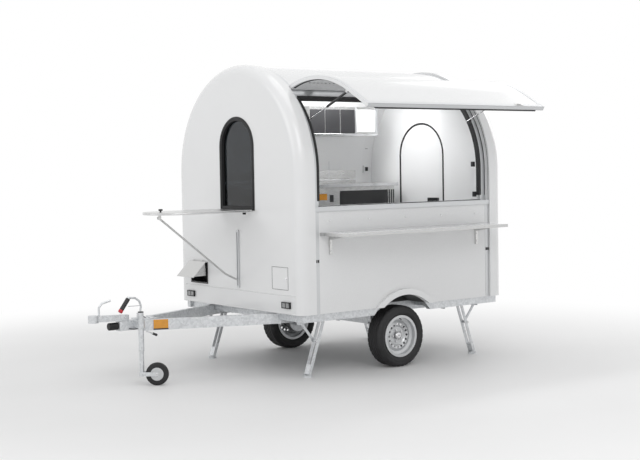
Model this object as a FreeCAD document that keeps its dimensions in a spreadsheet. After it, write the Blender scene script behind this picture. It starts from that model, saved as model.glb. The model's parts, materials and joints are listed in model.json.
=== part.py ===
import FreeCAD, Part
# A single-axle food trailer: barrel-shaped body, serving hatch, drawbar and corner steadies.
#
# The trailer is modelled about its own centre: X forward to the coupling, Y to the serving
# side, Z up from the ground, X = 0 and Y = 0 at the middle of the body. Each finished piece is
# then moved by body_mid_x and body_mid_y, so that the whole object's box is centred.
import math
import os

import Sketcher

doc = FreeCAD.newDocument("FoodTrailer")
sheet = doc.addObject("Spreadsheet::Sheet", "Sizes")
V = FreeCAD.Vector

# ---------------------------------------------------------------- driving dimensions
DIMENSIONS = {
    "body_mid_x": -755, "body_mid_y": -359,
    # body shell
    "body_length": 2500, "body_width": 2000, "roof_top": 2840, "underside": 585,
    "cap_length": 170, "cap_proud": 20, "cap_round": 90, "cap_wall": 35,
    "shell_wall": 30, "floor_depth": 35,
    # serving side
    "sill_top": 1540, "sill_height": 50, "sill_proud": 12, "hatch_angle": 38, "hatch_open": 60.5,
    "hatch_wall": 30, "hatch_play": 10, "jamb_width": 80, "frame_wall": 30, "header_angle": 45,
    "strut_inset": 26, "strut_stroke": 213, "strut_radius": 11, "strut_rod_radius": 5, "strut_cylinder": 300,
    "strut_foot_y": 800, "strut_foot_z": 2304, "strut_head_y": 1350, "strut_head_z": 2530,
    "shelf_length": 2040, "shelf_depth": 320, "shelf_height": 1305, "shelf_wall": 28,
    "bracket_drop": 170, "bracket_width": 30, "bracket_x": 905,
    "worktop_height": 1500, "worktop_depth": 240, "worktop_length": 1000, "worktop_wall": 30,
    # front window and its flap
    "window_y": 40, "window_width": 530, "window_sill": 1510, "window_spring": 2080,
    "window_frame_wall": 22, "window_lip": 5, "window_lip_width": 14, "glass_wall": 5,
    "flap_width": 560, "flap_reach": 925, "flap_wall": 22, "flap_gap": 25, "flap_height": 1494,
    "flap_board_set": 14,
    "flap_strut_length": 1012, "flap_strut_radius": 9, "flap_strut_back": 120,
    "flap_strut_drop": 30, "flap_strut_crank": 25, "flap_strut_straight": 880,
    "slide_rail_top": 1311, "slide_rail_bottom": 775, "slide_rail_width": 36, "slide_rail_depth": 14,
    # supply inlet on the front wall
    "inlet_y": -640, "inlet_width": 300, "inlet_top": 990, "inlet_height": 210, "inlet_open": 45,
    # rear door
    "door_y": -130, "door_width": 640, "door_spring": 1985, "door_play": 6, "door_bottom": 640,
    "door_wall": 35, "hinge_radius": 9, "hinge_pin": 5, "hinge_fit": 0.05, "hinge_length": 90, "hatch_lift": 12,
    # wheels and axle
    "wheel_x": 30, "wheel_y": 842, "tyre_radius": 288, "tyre_width": 185, "bead_radius": 178,
    "rim_flange": 196, "rim_width": 158, "rim_wall": 6, "drum_radius": 105, "spindle_radius": 20,
    "bearing_fit": 0.05, "arch_radius": 440, "arch_height": 245, "arch_band": 55, "arch_proud": 32,
    "well_wall": 15, "well_inner": 690, "axle_ahead": 130, "axle_height": 405, "axle_side": 80,
    "axle_wall": 6, "axle_half": 640, "arm_wall": 40,
    # chassis
    "rail_height": 70, "rail_width": 50, "rail_y": 925, "rail_end": 1200, "beam_y": 530,
    "beam_width": 50, "beam_height": 95, "beam_drop": 15, "beam_bend": 1150, "beam_tip_x": 2330, "beam_tip_y": 62,
    "member_width": 50,
    # coupling, brake lever and jockey wheel
    "housing_start": 2290, "housing_end": 2510, "housing_width": 74, "housing_height": 86,
    "bellows_length": 90, "bellows_radius": 30, "head_height": 593, "head_back": 2410,
    "socket_x": 2745, "ball_radius": 25.2, "head_cup": 45, "handle_radius": 9, "grip_radius": 17,
    "jockey_x": 2345, "jockey_y": 118, "jockey_tube": 24, "jockey_inner": 20, "jockey_fit": 0.05,
    "jockey_top": 644, "jockey_tube_bottom": 300, "jockey_radius": 100, "jockey_width": 50,
    "jockey_trail": 134, "jockey_turn": 141,
    # corner steadies
    "steady_y": 780, "steady_top": 495, "steady_hinge": 1085, "steady_elbow_x": 945,
    "steady_elbow_z": 322, "steady_nut": 865, "steady_foot": 1030, "steady_width": 64,
    "steady_wall": 5, "steady_pin": 6, "steady_inner": 655, "steady_spindle": 7,
    "foot_radius": 38, "foot_height": 22,
    # inside
    "counter_depth": 600, "counter_top": 1700, "counter_end": -1060, "counter_wall": 30,
    "hood_bottom": 2200, "hood_depth": 330, "hood_height": 300, "hood_end": -900, "splash_end": -985,
}


class Size:
    """A length that knows its number and the spreadsheet expression that gives it."""

    def __init__(self, value, text):
        self.value = value
        self.text = text

    def __add__(self, other):
        other = as_size(other)
        return Size(self.value + other.value, f"({self.text} + {other.text})")

    def __sub__(self, other):
        other = as_size(other)
        return Size(self.value - other.value, f"({self.text} - {other.text})")

    def __mul__(self, other):
        other = as_size(other)
        return Size(self.value * other.value, f"({self.text} * {other.text})")

    def __truediv__(self, other):
        other = as_size(other)
        return Size(self.value / other.value, f"({self.text} / {other.text})")

    def __neg__(self):
        return Size(-self.value, f"(0 - {self.text})")

    def __radd__(self, other):
        return as_size(other) + self

    def __rsub__(self, other):
        return as_size(other) - self

    def __rmul__(self, other):
        return as_size(other) * self


def as_size(number):
    return number if isinstance(number, Size) else Size(float(number), repr(float(number)))


def sine(angle):
    return Size(math.sin(math.radians(angle.value)), f"sin({angle.text})")


def cosine(angle):
    return Size(math.cos(math.radians(angle.value)), f"cos({angle.text})")


def root(square):
    return Size(math.sqrt(square.value), f"sqrt({square.text})")


class Sizes:
    """Every named dimension, as an attribute, backed by a cell of the sheet."""


S = Sizes()
for row, (alias, number) in enumerate(DIMENSIONS.items(), start=1):
    sheet.set(f"A{row}", alias)
    sheet.set(f"B{row}", str(number))
    sheet.setAlias(f"B{row}", alias)
    setattr(S, alias, Size(float(number), f"Sizes.{alias}"))
doc.recompute()

# ---------------------------------------------------------------- helpers
bases = {}
nodes = []


def bind(target, prop, amount):
    amount = as_size(amount)
    target.setExpression(prop, amount.text)


def place(target, corner, rotation=None):
    """Put an object at a corner given by sizes, remembered for the final shift."""
    corner = tuple(as_size(c) for c in corner)
    rotation = rotation or FreeCAD.Rotation()
    target.Placement = FreeCAD.Placement(V(*(c.value for c in corner)), rotation)
    for letter, amount in zip("xyz", corner):
        bind(target, f"Placement.Base.{letter}", amount)
    bases[target.Name] = corner
    return target


def block(name, low, high):
    """A box between two corners."""
    made = doc.addObject("Part::Box", name)
    for prop, near, far in zip(("Length", "Width", "Height"), low, high):
        bind(made, prop, as_size(far) - near)
    return place(made, low)


TURNS = {"x": FreeCAD.Rotation(V(0, 1, 0), 90), "y": FreeCAD.Rotation(V(1, 0, 0), -90),
         "z": FreeCAD.Rotation()}


def rod(name, radius, axis, start, length):
    """A round bar from start along a row axis."""
    made = doc.addObject("Part::Cylinder", name)
    bind(made, "Radius", radius)
    bind(made, "Height", length)
    return place(made, start, TURNS[axis])


def slant_rod(name, radius, start, end):
    """A round bar between two points in space."""
    made = doc.addObject("Part::Cylinder", name)
    first = V(*(as_size(c).value for c in start))
    last = V(*(as_size(c).value for c in end))
    bind(made, "Radius", radius)
    made.Height = (last - first).Length
    return place(made, start, FreeCAD.Rotation(V(0, 0, 1), last - first))


def joined(name, *pieces):
    made = doc.addObject("Part::MultiFuse", name)
    made.Shapes = list(pieces)
    made.Refine = True
    return place(made, (0, 0, 0))


def cut(name, base, *tools):
    made = doc.addObject("Part::Cut", name)
    made.Base = base
    made.Tool = tools[0] if len(tools) == 1 else joined(name + "_tools", *tools)
    made.Refine = True
    return place(made, (0, 0, 0))


def common(name, first, second):
    made = doc.addObject("Part::Common", name)
    made.Base = first
    made.Tool = second
    return place(made, (0, 0, 0))


def together(name, *pieces):
    """Separate solids that share one node."""
    made = doc.addObject("Part::Compound", name)
    made.Links = list(pieces)
    return place(made, (0, 0, 0))


def mirror(name, source, normal):
    made = doc.addObject("Part::Mirroring", name)
    made.Source = source
    made.Normal = normal
    return place(made, (0, 0, 0))


class Arc:
    """A round stretch between two corners of an outline; turn is 1 for anticlockwise."""

    def __init__(self, centre, turn):
        self.centre = tuple(as_size(c) for c in centre)
        self.turn = turn


PLANES = {"x": "YZ_Plane", "y": "XZ_Plane", "z": "XY_Plane"}


def angle_of(point, centre):
    return math.atan2(point[1].value - centre[1].value, point[0].value - centre[0].value)


def outline_sketch(body, name, axis, outline, offset):
    """A closed sketch on an origin plane, every corner bound to the sheet."""
    sketch = body.newObject("Sketcher::SketchObject", name)
    plane = [f for f in body.Origin.OriginFeatures if f.Role == PLANES[axis]][0]
    sketch.AttachmentSupport = (plane, [""])
    sketch.MapMode = "FlatFace"
    bind(sketch, "AttachmentOffset.Base.z", offset)
    corners = [tuple(as_size(c) for c in item) for item in outline if not isinstance(item, Arc)]
    arcs = {}
    count = 0
    for item in outline:
        if isinstance(item, Arc):
            arcs[count - 1] = item
        else:
            count += 1
    ends = []
    for i, start in enumerate(corners):
        finish = corners[(i + 1) % count]
        arc = arcs.get(i)
        if arc is None:
            line = Part.LineSegment(V(start[0].value, start[1].value, 0), V(finish[0].value, finish[1].value, 0))
            sketch.addGeometry(line, False)
            ends.append((1, 2))
            continue
        centre = arc.centre
        radius = math.hypot(start[0].value - centre[0].value, start[1].value - centre[1].value)
        circle = Part.Circle(V(centre[0].value, centre[1].value, 0), V(0, 0, 1), radius)
        first, last = (start, finish) if arc.turn > 0 else (finish, start)
        low = angle_of(first, centre)
        high = angle_of(last, centre)
        if high <= low + 1e-9:
            high += 2 * math.pi
        sketch.addGeometry(Part.ArcOfCircle(circle, low, high), False)
        ends.append((1, 2) if arc.turn > 0 else (2, 1))
    for i in range(count):
        after = (i + 1) % count
        sketch.addConstraint(Sketcher.Constraint("Coincident", i, ends[i][1], after, ends[after][0]))
    for i, corner in enumerate(corners):
        for letter, amount in zip("XY", corner):
            rule = Sketcher.Constraint("Distance" + letter, -1, 1, i, ends[i][0], amount.value)
            index = sketch.addConstraint(rule)
            sketch.renameConstraint(index, f"corner{i}{letter}")
            sketch.setExpression(f"Constraints.corner{i}{letter}", amount.text)
    for i, arc in arcs.items():
        start, finish = corners[i], corners[(i + 1) % count]
        flat = abs(start[0].value - finish[0].value) > abs(start[1].value - finish[1].value)
        letter = "Y" if flat else "X"
        amount = arc.centre[1] if flat else arc.centre[0]
        index = sketch.addConstraint(Sketcher.Constraint("Distance" + letter, -1, 1, i, 3, amount.value))
        sketch.renameConstraint(index, f"centre{i}")
        sketch.setExpression(f"Constraints.centre{i}", amount.text)
    return sketch


def profile(name, axis, outline, low, high):
    """A PartDesign body: an outline across one axis, padded from low to high along it.

    Across x the outline is (y, z), across y it is (x, z) and across z it is (x, y).
    """
    body = doc.addObject("PartDesign::Body", name)
    low = as_size(low)
    high = as_size(high)
    offset = -high if axis == "y" else low
    sketch = outline_sketch(body, name + "_outline", axis, outline, offset)
    pad = body.newObject("PartDesign::Pad", name + "_pad")
    pad.Profile = sketch
    bind(pad, "Length", high - low)
    body.Tip = pad
    return place(body, (0, 0, 0))


def turned(name, outline):
    """A PartDesign body: an outline of (y, radius) turned about the Y axis."""
    body = doc.addObject("PartDesign::Body", name)
    sketch = outline_sketch(body, name + "_outline", "x", outline, 0)
    turn = body.newObject("PartDesign::Revolution", name + "_turn")
    turn.Profile = sketch
    turn.ReferenceAxis = (sketch, ["H_Axis"])
    turn.Angle = 360
    body.Tip = turn
    return place(body, (0, 0, 0))


def arch(half_width, bottom, spring, middle=0):
    """A doorway outline: straight sides under a half circle."""
    left = as_size(middle) - half_width
    right = as_size(middle) + half_width
    return [(left, bottom), (right, bottom), (right, spring), Arc((middle, spring), 1), (left, spring)]


def node(label, piece, origin=None, rotation=None):
    """Name a finished piece and move it into the whole object's frame."""
    corner = tuple(as_size(c) for c in (origin or (0, 0, 0)))
    turn = rotation or piece.Placement.Rotation
    held = bases.pop(piece.Name)
    if origin is None:
        corner = held
    place(piece, (corner[0] + S.body_mid_x, corner[1] + S.body_mid_y, corner[2]), turn)
    piece.Label = label
    nodes.append(piece)
    return piece


# ---------------------------------------------------------------- derived places
half_length = S.body_length / 2
half_width = S.body_width / 2
spring = S.roof_top - half_width
cap_x = half_length - S.cap_length
shell_outer = half_width - S.cap_proud
shell_inner = shell_outer - S.shell_wall
rail_bottom = S.underside - S.rail_height
roof_edge_y = shell_outer * sine(S.hatch_angle)
roof_edge_z = spring + shell_outer * cosine(S.hatch_angle)
hatch_edge_angle = S.hatch_angle + 0.8
hatch_y = (shell_outer + S.hatch_lift) * sine(S.hatch_angle + 0.4)
hatch_z = spring + (shell_outer + S.hatch_lift) * cosine(S.hatch_angle + 0.4)


def arch_band(outer, inner, angle_from, angle_to, bottom_z):
    """Half of a barrel wall: from angle_from (degrees off the top) round to the wall's foot."""
    return [(outer * sine(angle_from), spring + outer * cosine(angle_from)),
            Arc((0, spring), -1), (outer, spring), (outer, bottom_z), (inner, bottom_z),
            (inner, spring), Arc((0, spring), 1),
            (inner * sine(angle_to), spring + inner * cosine(angle_to))]


# ---------------------------------------------------------------- body shell
def end_cap(name, opening):
    """One end of the body: a rounded moulding, open to the inside, with its openings cut."""
    body = doc.addObject("PartDesign::Body", name + "_moulding")
    outline = arch(half_width, S.underside, spring)
    sketch = outline_sketch(body, name + "_outline", "x", outline, cap_x)
    pad = body.newObject("PartDesign::Pad", name + "_pad")
    pad.Profile = sketch
    bind(pad, "Length", S.cap_length)
    body.Tip = pad
    doc.recompute()
    edge_names = []
    for index, edge in enumerate(pad.Shape.Edges, start=1):
        middle = edge.valueAt((edge.FirstParameter + edge.LastParameter) / 2)
        if abs(middle.x - half_length.value) < 0.01 and middle.z > S.underside.value + 1:
            edge_names.append(f"Edge{index}")
    fillet = body.newObject("PartDesign::Fillet", name + "_round")
    fillet.Base = (pad, edge_names)
    bind(fillet, "Radius", S.cap_round)
    body.Tip = fillet
    place(body, (0, 0, 0))
    hollow = profile(name + "_hollow", "x", arch(shell_inner, S.underside - 10, spring),
                     cap_x - 10, half_length - S.cap_wall)
    return cut(name, body, hollow, opening)


window_half = S.window_width / 2
window_hole = profile("window_hole", "x", arch(window_half, S.window_sill, S.window_spring, S.window_y),
                      half_length - 100, half_length + 10)
inlet_hole = block("inlet_hole",
                   (half_length - 100, S.inlet_y - S.inlet_width / 2 + 10, S.inlet_top - S.inlet_height + 5),
                   (half_length + 10, S.inlet_y + S.inlet_width / 2 - 10, S.inlet_top - 10))
node("front_cap", end_cap("front_cap", joined("front_openings", window_hole, inlet_hole)))

door_half = S.door_width / 2
door_gap_half = door_half + S.door_play
door_hole = profile("door_hole", "x",
                    arch(door_gap_half, S.door_bottom - S.door_play, S.door_spring, S.door_y),
                    half_length - 100, half_length + 10)
rear_cap = mirror("rear_cap_turned", end_cap("rear_moulding", door_hole), V(1, 0, 0))
node("rear_cap", rear_cap)

roof_outline = [(-shell_outer, spring), Arc((0, spring), -1),
                (roof_edge_y, roof_edge_z),
                (shell_inner * sine(S.hatch_angle), spring + shell_inner * cosine(S.hatch_angle)),
                Arc((0, spring), 1), (-shell_inner, spring)]
roof_skin = profile("roof_skin", "x", roof_outline, -cap_x, cap_x)
hinge_turn = FreeCAD.Rotation(V(1, 0, 0), -S.hatch_angle.value - 0.4)


def hatch_lug(name, low_x, high_x, near, far):
    """A hinge lug between two tangential offsets, in the frame of the hinge line."""
    lug = block(name, (low_x, near, -S.hatch_lift - 3), (high_x, far, -4))
    return lug


third = S.hinge_length / 3
hatch_hinge_places = (-800, 0, 800)
roof_lugs = []
for index, x in enumerate(hatch_hinge_places):
    parts = [rod(f"roof_hinge_pin_{index}", S.hinge_pin, "x", (x - third * 1.5, 0, 0), third * 3)]
    for letter, shift in (("a", -1.5), ("b", 0.5)):
        low_x = x + third * shift
        parts.append(rod(f"roof_knuckle_{letter}_{index}", S.hinge_radius, "x", (low_x, 0, 0), third))
        parts.append(hatch_lug(f"roof_lug_{letter}_{index}", low_x, low_x + third, -40, 0))
    roof_lugs.append(joined(f"roof_hinge_{index}", *parts))
roof_hinges = joined("roof_hinges", *roof_lugs)
place(roof_hinges, (0, hatch_y, hatch_z), hinge_turn)
node("roof_panel", joined("roof_panel", roof_skin, roof_hinges))

arch_tool = rod("arch_tool", S.arch_radius, "y", (S.wheel_x, -half_width - 50, S.arch_height),
                S.body_width + 100)
far_wall = block("far_wall", (-cap_x, -shell_outer, S.underside), (cap_x, -shell_inner, spring))
node("far_side_panel", cut("far_side_panel", far_wall, arch_tool))
near_wall = block("near_wall", (-cap_x, shell_inner, S.underside),
                  (cap_x, shell_outer, S.sill_top - S.sill_height))
node("serving_side_panel", cut("serving_side_panel", near_wall, arch_tool))

frame_outer = shell_inner - 6
frame_inner = frame_outer - S.frame_wall
frame_bottom = S.sill_top - S.sill_height
frame_start = S.hatch_angle - 4
frame_band = profile("frame_band", "x",
                     arch_band(frame_outer, frame_inner, frame_start, frame_start, frame_bottom),
                     -cap_x + 2, cap_x - 2)
opening_band = profile("opening_band", "x",
                       arch_band(frame_outer + 40, frame_inner - 40, S.header_angle, S.header_angle,
                                 S.sill_top),
                       S.jamb_width - cap_x, cap_x - S.jamb_width)
strut_x = cap_x - S.jamb_width - S.strut_inset
stub_length = S.strut_inset - 8
front_stub = rod("front_stub", 7, "x", (cap_x - S.jamb_width - stub_length, S.strut_foot_y, S.strut_foot_z), stub_length)
rear_stub = rod("rear_stub", 7, "x", (S.jamb_width - cap_x, S.strut_foot_y, S.strut_foot_z), stub_length)
node("serving_frame", joined("serving_frame", cut("serving_surround", frame_band, opening_band), front_stub, rear_stub))

sill = block("sill", (-cap_x, frame_outer, frame_bottom), (cap_x, shell_outer + S.sill_proud, S.sill_top - 8))
node("serving_sill", sill)

well_radius = S.arch_radius + S.well_wall
floor_slab = block("floor_slab", (-half_length + S.cap_wall, -shell_inner, S.underside),
                   (half_length - S.cap_wall, shell_inner, S.underside + S.floor_depth))
well_cuts = []
wells = []
trims = []
for side, sign in (("near", 1), ("far", -1)):
    low_y = S.well_inner if sign > 0 else -shell_inner
    high_y = shell_inner if sign > 0 else -S.well_inner
    span = shell_inner - S.well_inner
    well_cuts.append(rod(f"{side}_floor_cut", well_radius, "y", (S.wheel_x, low_y - (0 if sign > 0 else 10), S.arch_height), span + 10))
    shell = rod(f"{side}_well_outside", well_radius, "y", (S.wheel_x, low_y, S.arch_height), span)
    inside_low = low_y + S.well_wall if sign > 0 else low_y - 10
    inside = rod(f"{side}_well_inside", S.arch_radius, "y", (S.wheel_x, inside_low, S.arch_height),
                 span - S.well_wall + 10)
    below = block(f"{side}_well_below", (S.wheel_x - 600, low_y - 10, S.arch_height - 600),
                  (S.wheel_x + 600, high_y + 10, S.underside))
    wells.append(cut(f"{side}_wheel_well", shell, inside, below))
    trim_y = shell_outer if sign > 0 else -shell_outer - S.arch_proud
    band = rod(f"{side}_trim_outside", S.arch_radius + S.arch_band, "y", (S.wheel_x, trim_y, S.arch_height),
               S.arch_proud)
    bore = rod(f"{side}_trim_inside", S.arch_radius, "y", (S.wheel_x, trim_y - 10, S.arch_height),
               S.arch_proud + 20)
    foot = block(f"{side}_trim_below", (S.wheel_x - 600, trim_y - 10, S.arch_height - 600),
                 (S.wheel_x + 600, trim_y + S.arch_proud + 10, S.underside))
    trims.append(cut(f"{side}_arch_trim", band, bore, foot))
node("floor", cut("floor", floor_slab, *well_cuts))
node("wheel_wells", together("wheel_wells", *wells))
node("wheel_arch_trims", together("wheel_arch_trims", *trims))

# ---------------------------------------------------------------- chassis
rails = []
for side, sign in (("near", 1), ("far", -1)):
    middle = S.rail_y * sign
    rail = block(f"{side}_rail", (-S.rail_end, middle - S.rail_width / 2, rail_bottom),
                 (S.rail_end, middle + S.rail_width / 2, S.underside))
    rails.append(rail)
members = []
inner_rail = S.rail_y - S.rail_width / 2
for index, member_x in enumerate((-S.rail_end + S.member_width / 2, as_size(-500), as_size(560),
                                  S.beam_bend + 0)):
    members.append(block(f"cross_member_{index}", (member_x - S.member_width / 2, -inner_rail, rail_bottom),
                         (member_x + S.member_width / 2, inner_rail, S.underside)))
rail_frame = joined("rail_frame", *rails, *members)

half_beam = S.beam_width / 2
beam_top = S.underside - S.beam_drop
beam_bottom = beam_top - S.beam_height
beam_outline = [(-S.rail_end, S.beam_y - half_beam), (S.beam_bend, S.beam_y - half_beam),
                (S.beam_tip_x, S.beam_tip_y - half_beam), (S.beam_tip_x, S.beam_tip_y + half_beam),
                (S.beam_bend, S.beam_y + half_beam), (-S.rail_end, S.beam_y + half_beam)]
near_beam = profile("near_beam", "z", beam_outline, beam_bottom, beam_top)
far_beam = mirror("far_beam", near_beam, V(0, 1, 0))
node("drawbar_beams", together("drawbar_beams", near_beam, far_beam))
node("chassis_rails", cut("chassis_rails", rail_frame, arch_tool, near_beam, far_beam))

axle_x = S.wheel_x + S.axle_ahead
half_axle = S.axle_side / 2
axle_top = beam_bottom
tube_outside = block("tube_outside", (axle_x - half_axle, -S.axle_half, axle_top - S.axle_side),
                     (axle_x + half_axle, S.axle_half, axle_top))
tube_inside = block("tube_inside",
                    (axle_x - half_axle + S.axle_wall, -S.axle_half - 10, axle_top - S.axle_side + S.axle_wall),
                    (axle_x + half_axle - S.axle_wall, S.axle_half + 10, axle_top - S.axle_wall))
node("axle_tube", cut("axle_tube", tube_outside, tube_inside))

arm_centre_z = axle_top - half_axle
arm_outline = [(S.wheel_x - 34, S.tyre_radius - 34), (S.wheel_x + 40, S.tyre_radius - 34),
               (axle_x + 38, arm_centre_z - 20), (axle_x + 38, arm_centre_z + 38),
               (axle_x - 38, arm_centre_z + 38), (S.wheel_x - 34, S.tyre_radius + 34)]
near_arm = profile("near_arm", "y", arm_outline, S.axle_half, S.axle_half + S.arm_wall)
near_plate = rod("near_plate", S.drum_radius, "y", (S.wheel_x, S.axle_half + S.arm_wall, S.tyre_radius), 14)
near_spindle = rod("near_spindle", S.spindle_radius, "y", (S.wheel_x, S.axle_half + 5, S.tyre_radius), 195)
near_swing = joined("near_swing", near_arm, near_plate, near_spindle)
far_swing = mirror("far_swing", near_swing, V(0, 1, 0))
node("swing_arms", together("swing_arms", near_swing, far_swing))

# ---------------------------------------------------------------- road wheels
tyre_half = S.tyre_width / 2
rim_half = S.rim_width / 2
tyre_wall = 11
tyre_outline = [
    (-rim_half + 14, S.bead_radius), (-rim_half + S.rim_wall + 0.3, S.rim_flange + 2),
    (-tyre_half + 6, S.bead_radius + 36),
    (-tyre_half, S.bead_radius + 62), (-tyre_half + 9, S.tyre_radius - 18),
    (-tyre_half + 26, S.tyre_radius), (tyre_half - 26, S.tyre_radius),
    (tyre_half - 9, S.tyre_radius - 18), (tyre_half, S.bead_radius + 62),
    (tyre_half - 6, S.bead_radius + 36), (rim_half - S.rim_wall - 0.3, S.rim_flange + 2),
    (rim_half - 14, S.bead_radius),
    (rim_half - 14 - tyre_wall, S.bead_radius), (tyre_half - 6 - tyre_wall, S.bead_radius + 36),
    (tyre_half - tyre_wall, S.bead_radius + 62), (tyre_half - 26, S.tyre_radius - tyre_wall - 6),
    (-tyre_half + 26, S.tyre_radius - tyre_wall - 6), (-tyre_half + tyre_wall, S.bead_radius + 62),
    (-tyre_half + 6 + tyre_wall, S.bead_radius + 36), (-rim_half + 14 + tyre_wall, S.bead_radius)]
wall = S.rim_wall
bead = S.bead_radius
drop = bead - 26
rim_outline = [
    (-rim_half, S.rim_flange), (-rim_half + wall, S.rim_flange), (-rim_half + wall, bead),
    (-34, bead), (-26, drop), (24, drop), (34, bead), (rim_half - wall, bead),
    (rim_half - wall, S.rim_flange), (rim_half, S.rim_flange), (rim_half, bead - wall),
    (40, bead - wall), (28, drop - wall), (22, drop - wall), (36, 120), (30, 96), (18, 84), (18, 33),
    (18 - wall, 33), (18 - wall, 88), (25, 102), (30, 120), (14, drop - wall), (-28, drop - wall),
    (-40, bead - wall), (-rim_half, bead - wall)]
disc_face = 18 - wall
drum_back = S.axle_half + S.arm_wall + 18 - S.wheel_y
hub_outline = [
    (drum_back, S.spindle_radius + S.bearing_fit), (drum_back, S.drum_radius), (drum_back + 58, S.drum_radius),
    (drum_back + 62, 70), (disc_face, 70), (disc_face, 32), (44, 32), (48, 28), (48, 0),
    (40, 0), (40, S.spindle_radius + S.bearing_fit)]
vent_count = 16
vent_radius = 11
vent_circle = 108
for side, sign in (("left", 1), ("right", -1)):
    tyre = turned(f"tyre_{side}", tyre_outline)
    disc = turned(f"disc_{side}", rim_outline)
    holes = []
    for index in range(vent_count):
        angle = 2 * math.pi * index / vent_count
        holes.append(rod(f"vent_{side}_{index}", vent_radius, "y",
                         (vent_circle * math.cos(angle), -20, vent_circle * math.sin(angle)), 80))
    rim = cut(f"rim_{side}", disc, *holes)
    hub = turned(f"hub_{side}", hub_outline)
    half_turn = FreeCAD.Rotation() if sign > 0 else FreeCAD.Rotation(V(0, 0, 1), 180)
    centre = (S.wheel_x, S.wheel_y * sign, S.tyre_radius)
    node(f"tyre_{side}", tyre, centre, half_turn)
    node(f"rim_{side}", rim, centre, half_turn)
    node(f"hub_{side}", hub, centre, half_turn)

# ---------------------------------------------------------------- serving hatch and gas struts
hatch_half = cap_x - S.hatch_play
hatch_inner = shell_outer - S.hatch_wall
hatch_foot = S.sill_top + 4
hatch_outline = []
for corner in arch_band(shell_outer, hatch_inner, hatch_edge_angle, hatch_edge_angle, hatch_foot):
    if isinstance(corner, Arc):
        hatch_outline.append(Arc((-hatch_y, spring - hatch_z), corner.turn))
    else:
        hatch_outline.append((corner[0] - hatch_y, corner[1] - hatch_z))
hatch_turn = FreeCAD.Rotation(V(1, 0, 0), S.hatch_open.value)
hatch_skin = profile("hatch_skin", "x", hatch_outline, -hatch_half, hatch_half)

hinge_bore = S.hinge_pin + S.hinge_fit
hatch_knuckles = []
for index, x in enumerate(hatch_hinge_places):
    low_x = x - third / 2 + 0.5
    sleeve = rod(f"hatch_sleeve_{index}", S.hinge_radius, "x", (low_x, 0, 0), third - 1)
    lug = hatch_lug(f"hatch_lug_{index}", low_x, low_x + third - 1, 0, 40)
    hole = rod(f"hatch_sleeve_bore_{index}", hinge_bore, "x", (low_x - 10, 0, 0), third + 20)
    hatch_knuckles.append(cut(f"hatch_knuckle_{index}", joined(f"hatch_knuckle_solid_{index}", sleeve, lug), hole))
hatch_hinges = joined("hatch_hinges", *hatch_knuckles)
place(hatch_hinges, (0, 0, 0), hinge_turn)


def local_point(y, z, angle):
    """A point of the closed hatch's frame for a point given at rest, about the hinge line."""
    dy = as_size(y) - hatch_y
    dz = as_size(z) - hatch_z
    turn_back = math.radians(angle.value)
    cosine_back = math.cos(turn_back)
    sine_back = math.sin(turn_back)
    return (dy * cosine_back + dz * sine_back, dz * cosine_back - dy * sine_back)


head_local = local_point(S.strut_head_y, S.strut_head_z, S.hatch_open)
head_brackets = []
for side, sign in (("front", 1), ("rear", -1)):
    middle = strut_x * sign
    outer = middle + 14 * sign
    low = (outer if sign > 0 else outer - 5, head_local[0] - 14, head_local[1] - 14)
    high = (outer + 5 if sign > 0 else outer, head_local[0] + 62, head_local[1] + 14)
    plate = block(f"{side}_head_plate", low, high)
    start = middle - 9 if sign > 0 else middle - 16
    pin = rod(f"{side}_head_pin", 4, "x", (start, head_local[0], head_local[1]), 25)
    head_brackets.append(joined(f"{side}_head_bracket", plate, pin))
hatch = joined("hatch_joined", hatch_skin, hatch_hinges, *head_brackets)
node("serving_hatch", hatch, (0, hatch_y, hatch_z), hatch_turn)

strut_run = V(0, S.strut_foot_y.value - S.strut_head_y.value, S.strut_foot_z.value - S.strut_head_z.value)
strut_length = strut_run.Length
shaft_start = 30 + S.strut_stroke + 4
strut_turn = FreeCAD.Rotation(V(0, 0, 1), strut_run)
for side, sign in (("front", 1), ("rear", -1)):
    head = (strut_x * sign, S.strut_head_y, S.strut_head_z)
    tube = rod(f"strut_tube_{side}", S.strut_radius, "z", (0, 0, 16), S.strut_cylinder)
    eye = rod(f"strut_eye_{side}", 8, "x", (-6, 0, 0), 12)
    neck = rod(f"strut_neck_{side}", 5, "z", (0, 0, 0), 20)
    bore = rod(f"strut_bore_{side}", S.strut_rod_radius + S.hinge_fit, "z", (0, 0, 30), S.strut_cylinder)
    eye_bore = rod(f"strut_eye_bore_{side}", 4 + S.hinge_fit, "x", (-10, 0, 0), 20)
    cylinder = cut(f"strut_cylinder_{side}", joined(f"strut_solid_{side}", tube, eye, neck), bore, eye_bore)
    node(f"strut_cylinder_{side}", cylinder, head, strut_turn)
    shaft = rod(f"strut_shaft_{side}", S.strut_rod_radius, "z", (0, 0, shaft_start), strut_length - shaft_start.value)
    far_eye = rod(f"strut_far_eye_{side}", 8, "x", (-6, 0, strut_length), 12)
    slider = joined(f"strut_rod_{side}", shaft, far_eye)
    node(f"strut_rod_{side}", slider, head, strut_turn)

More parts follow.
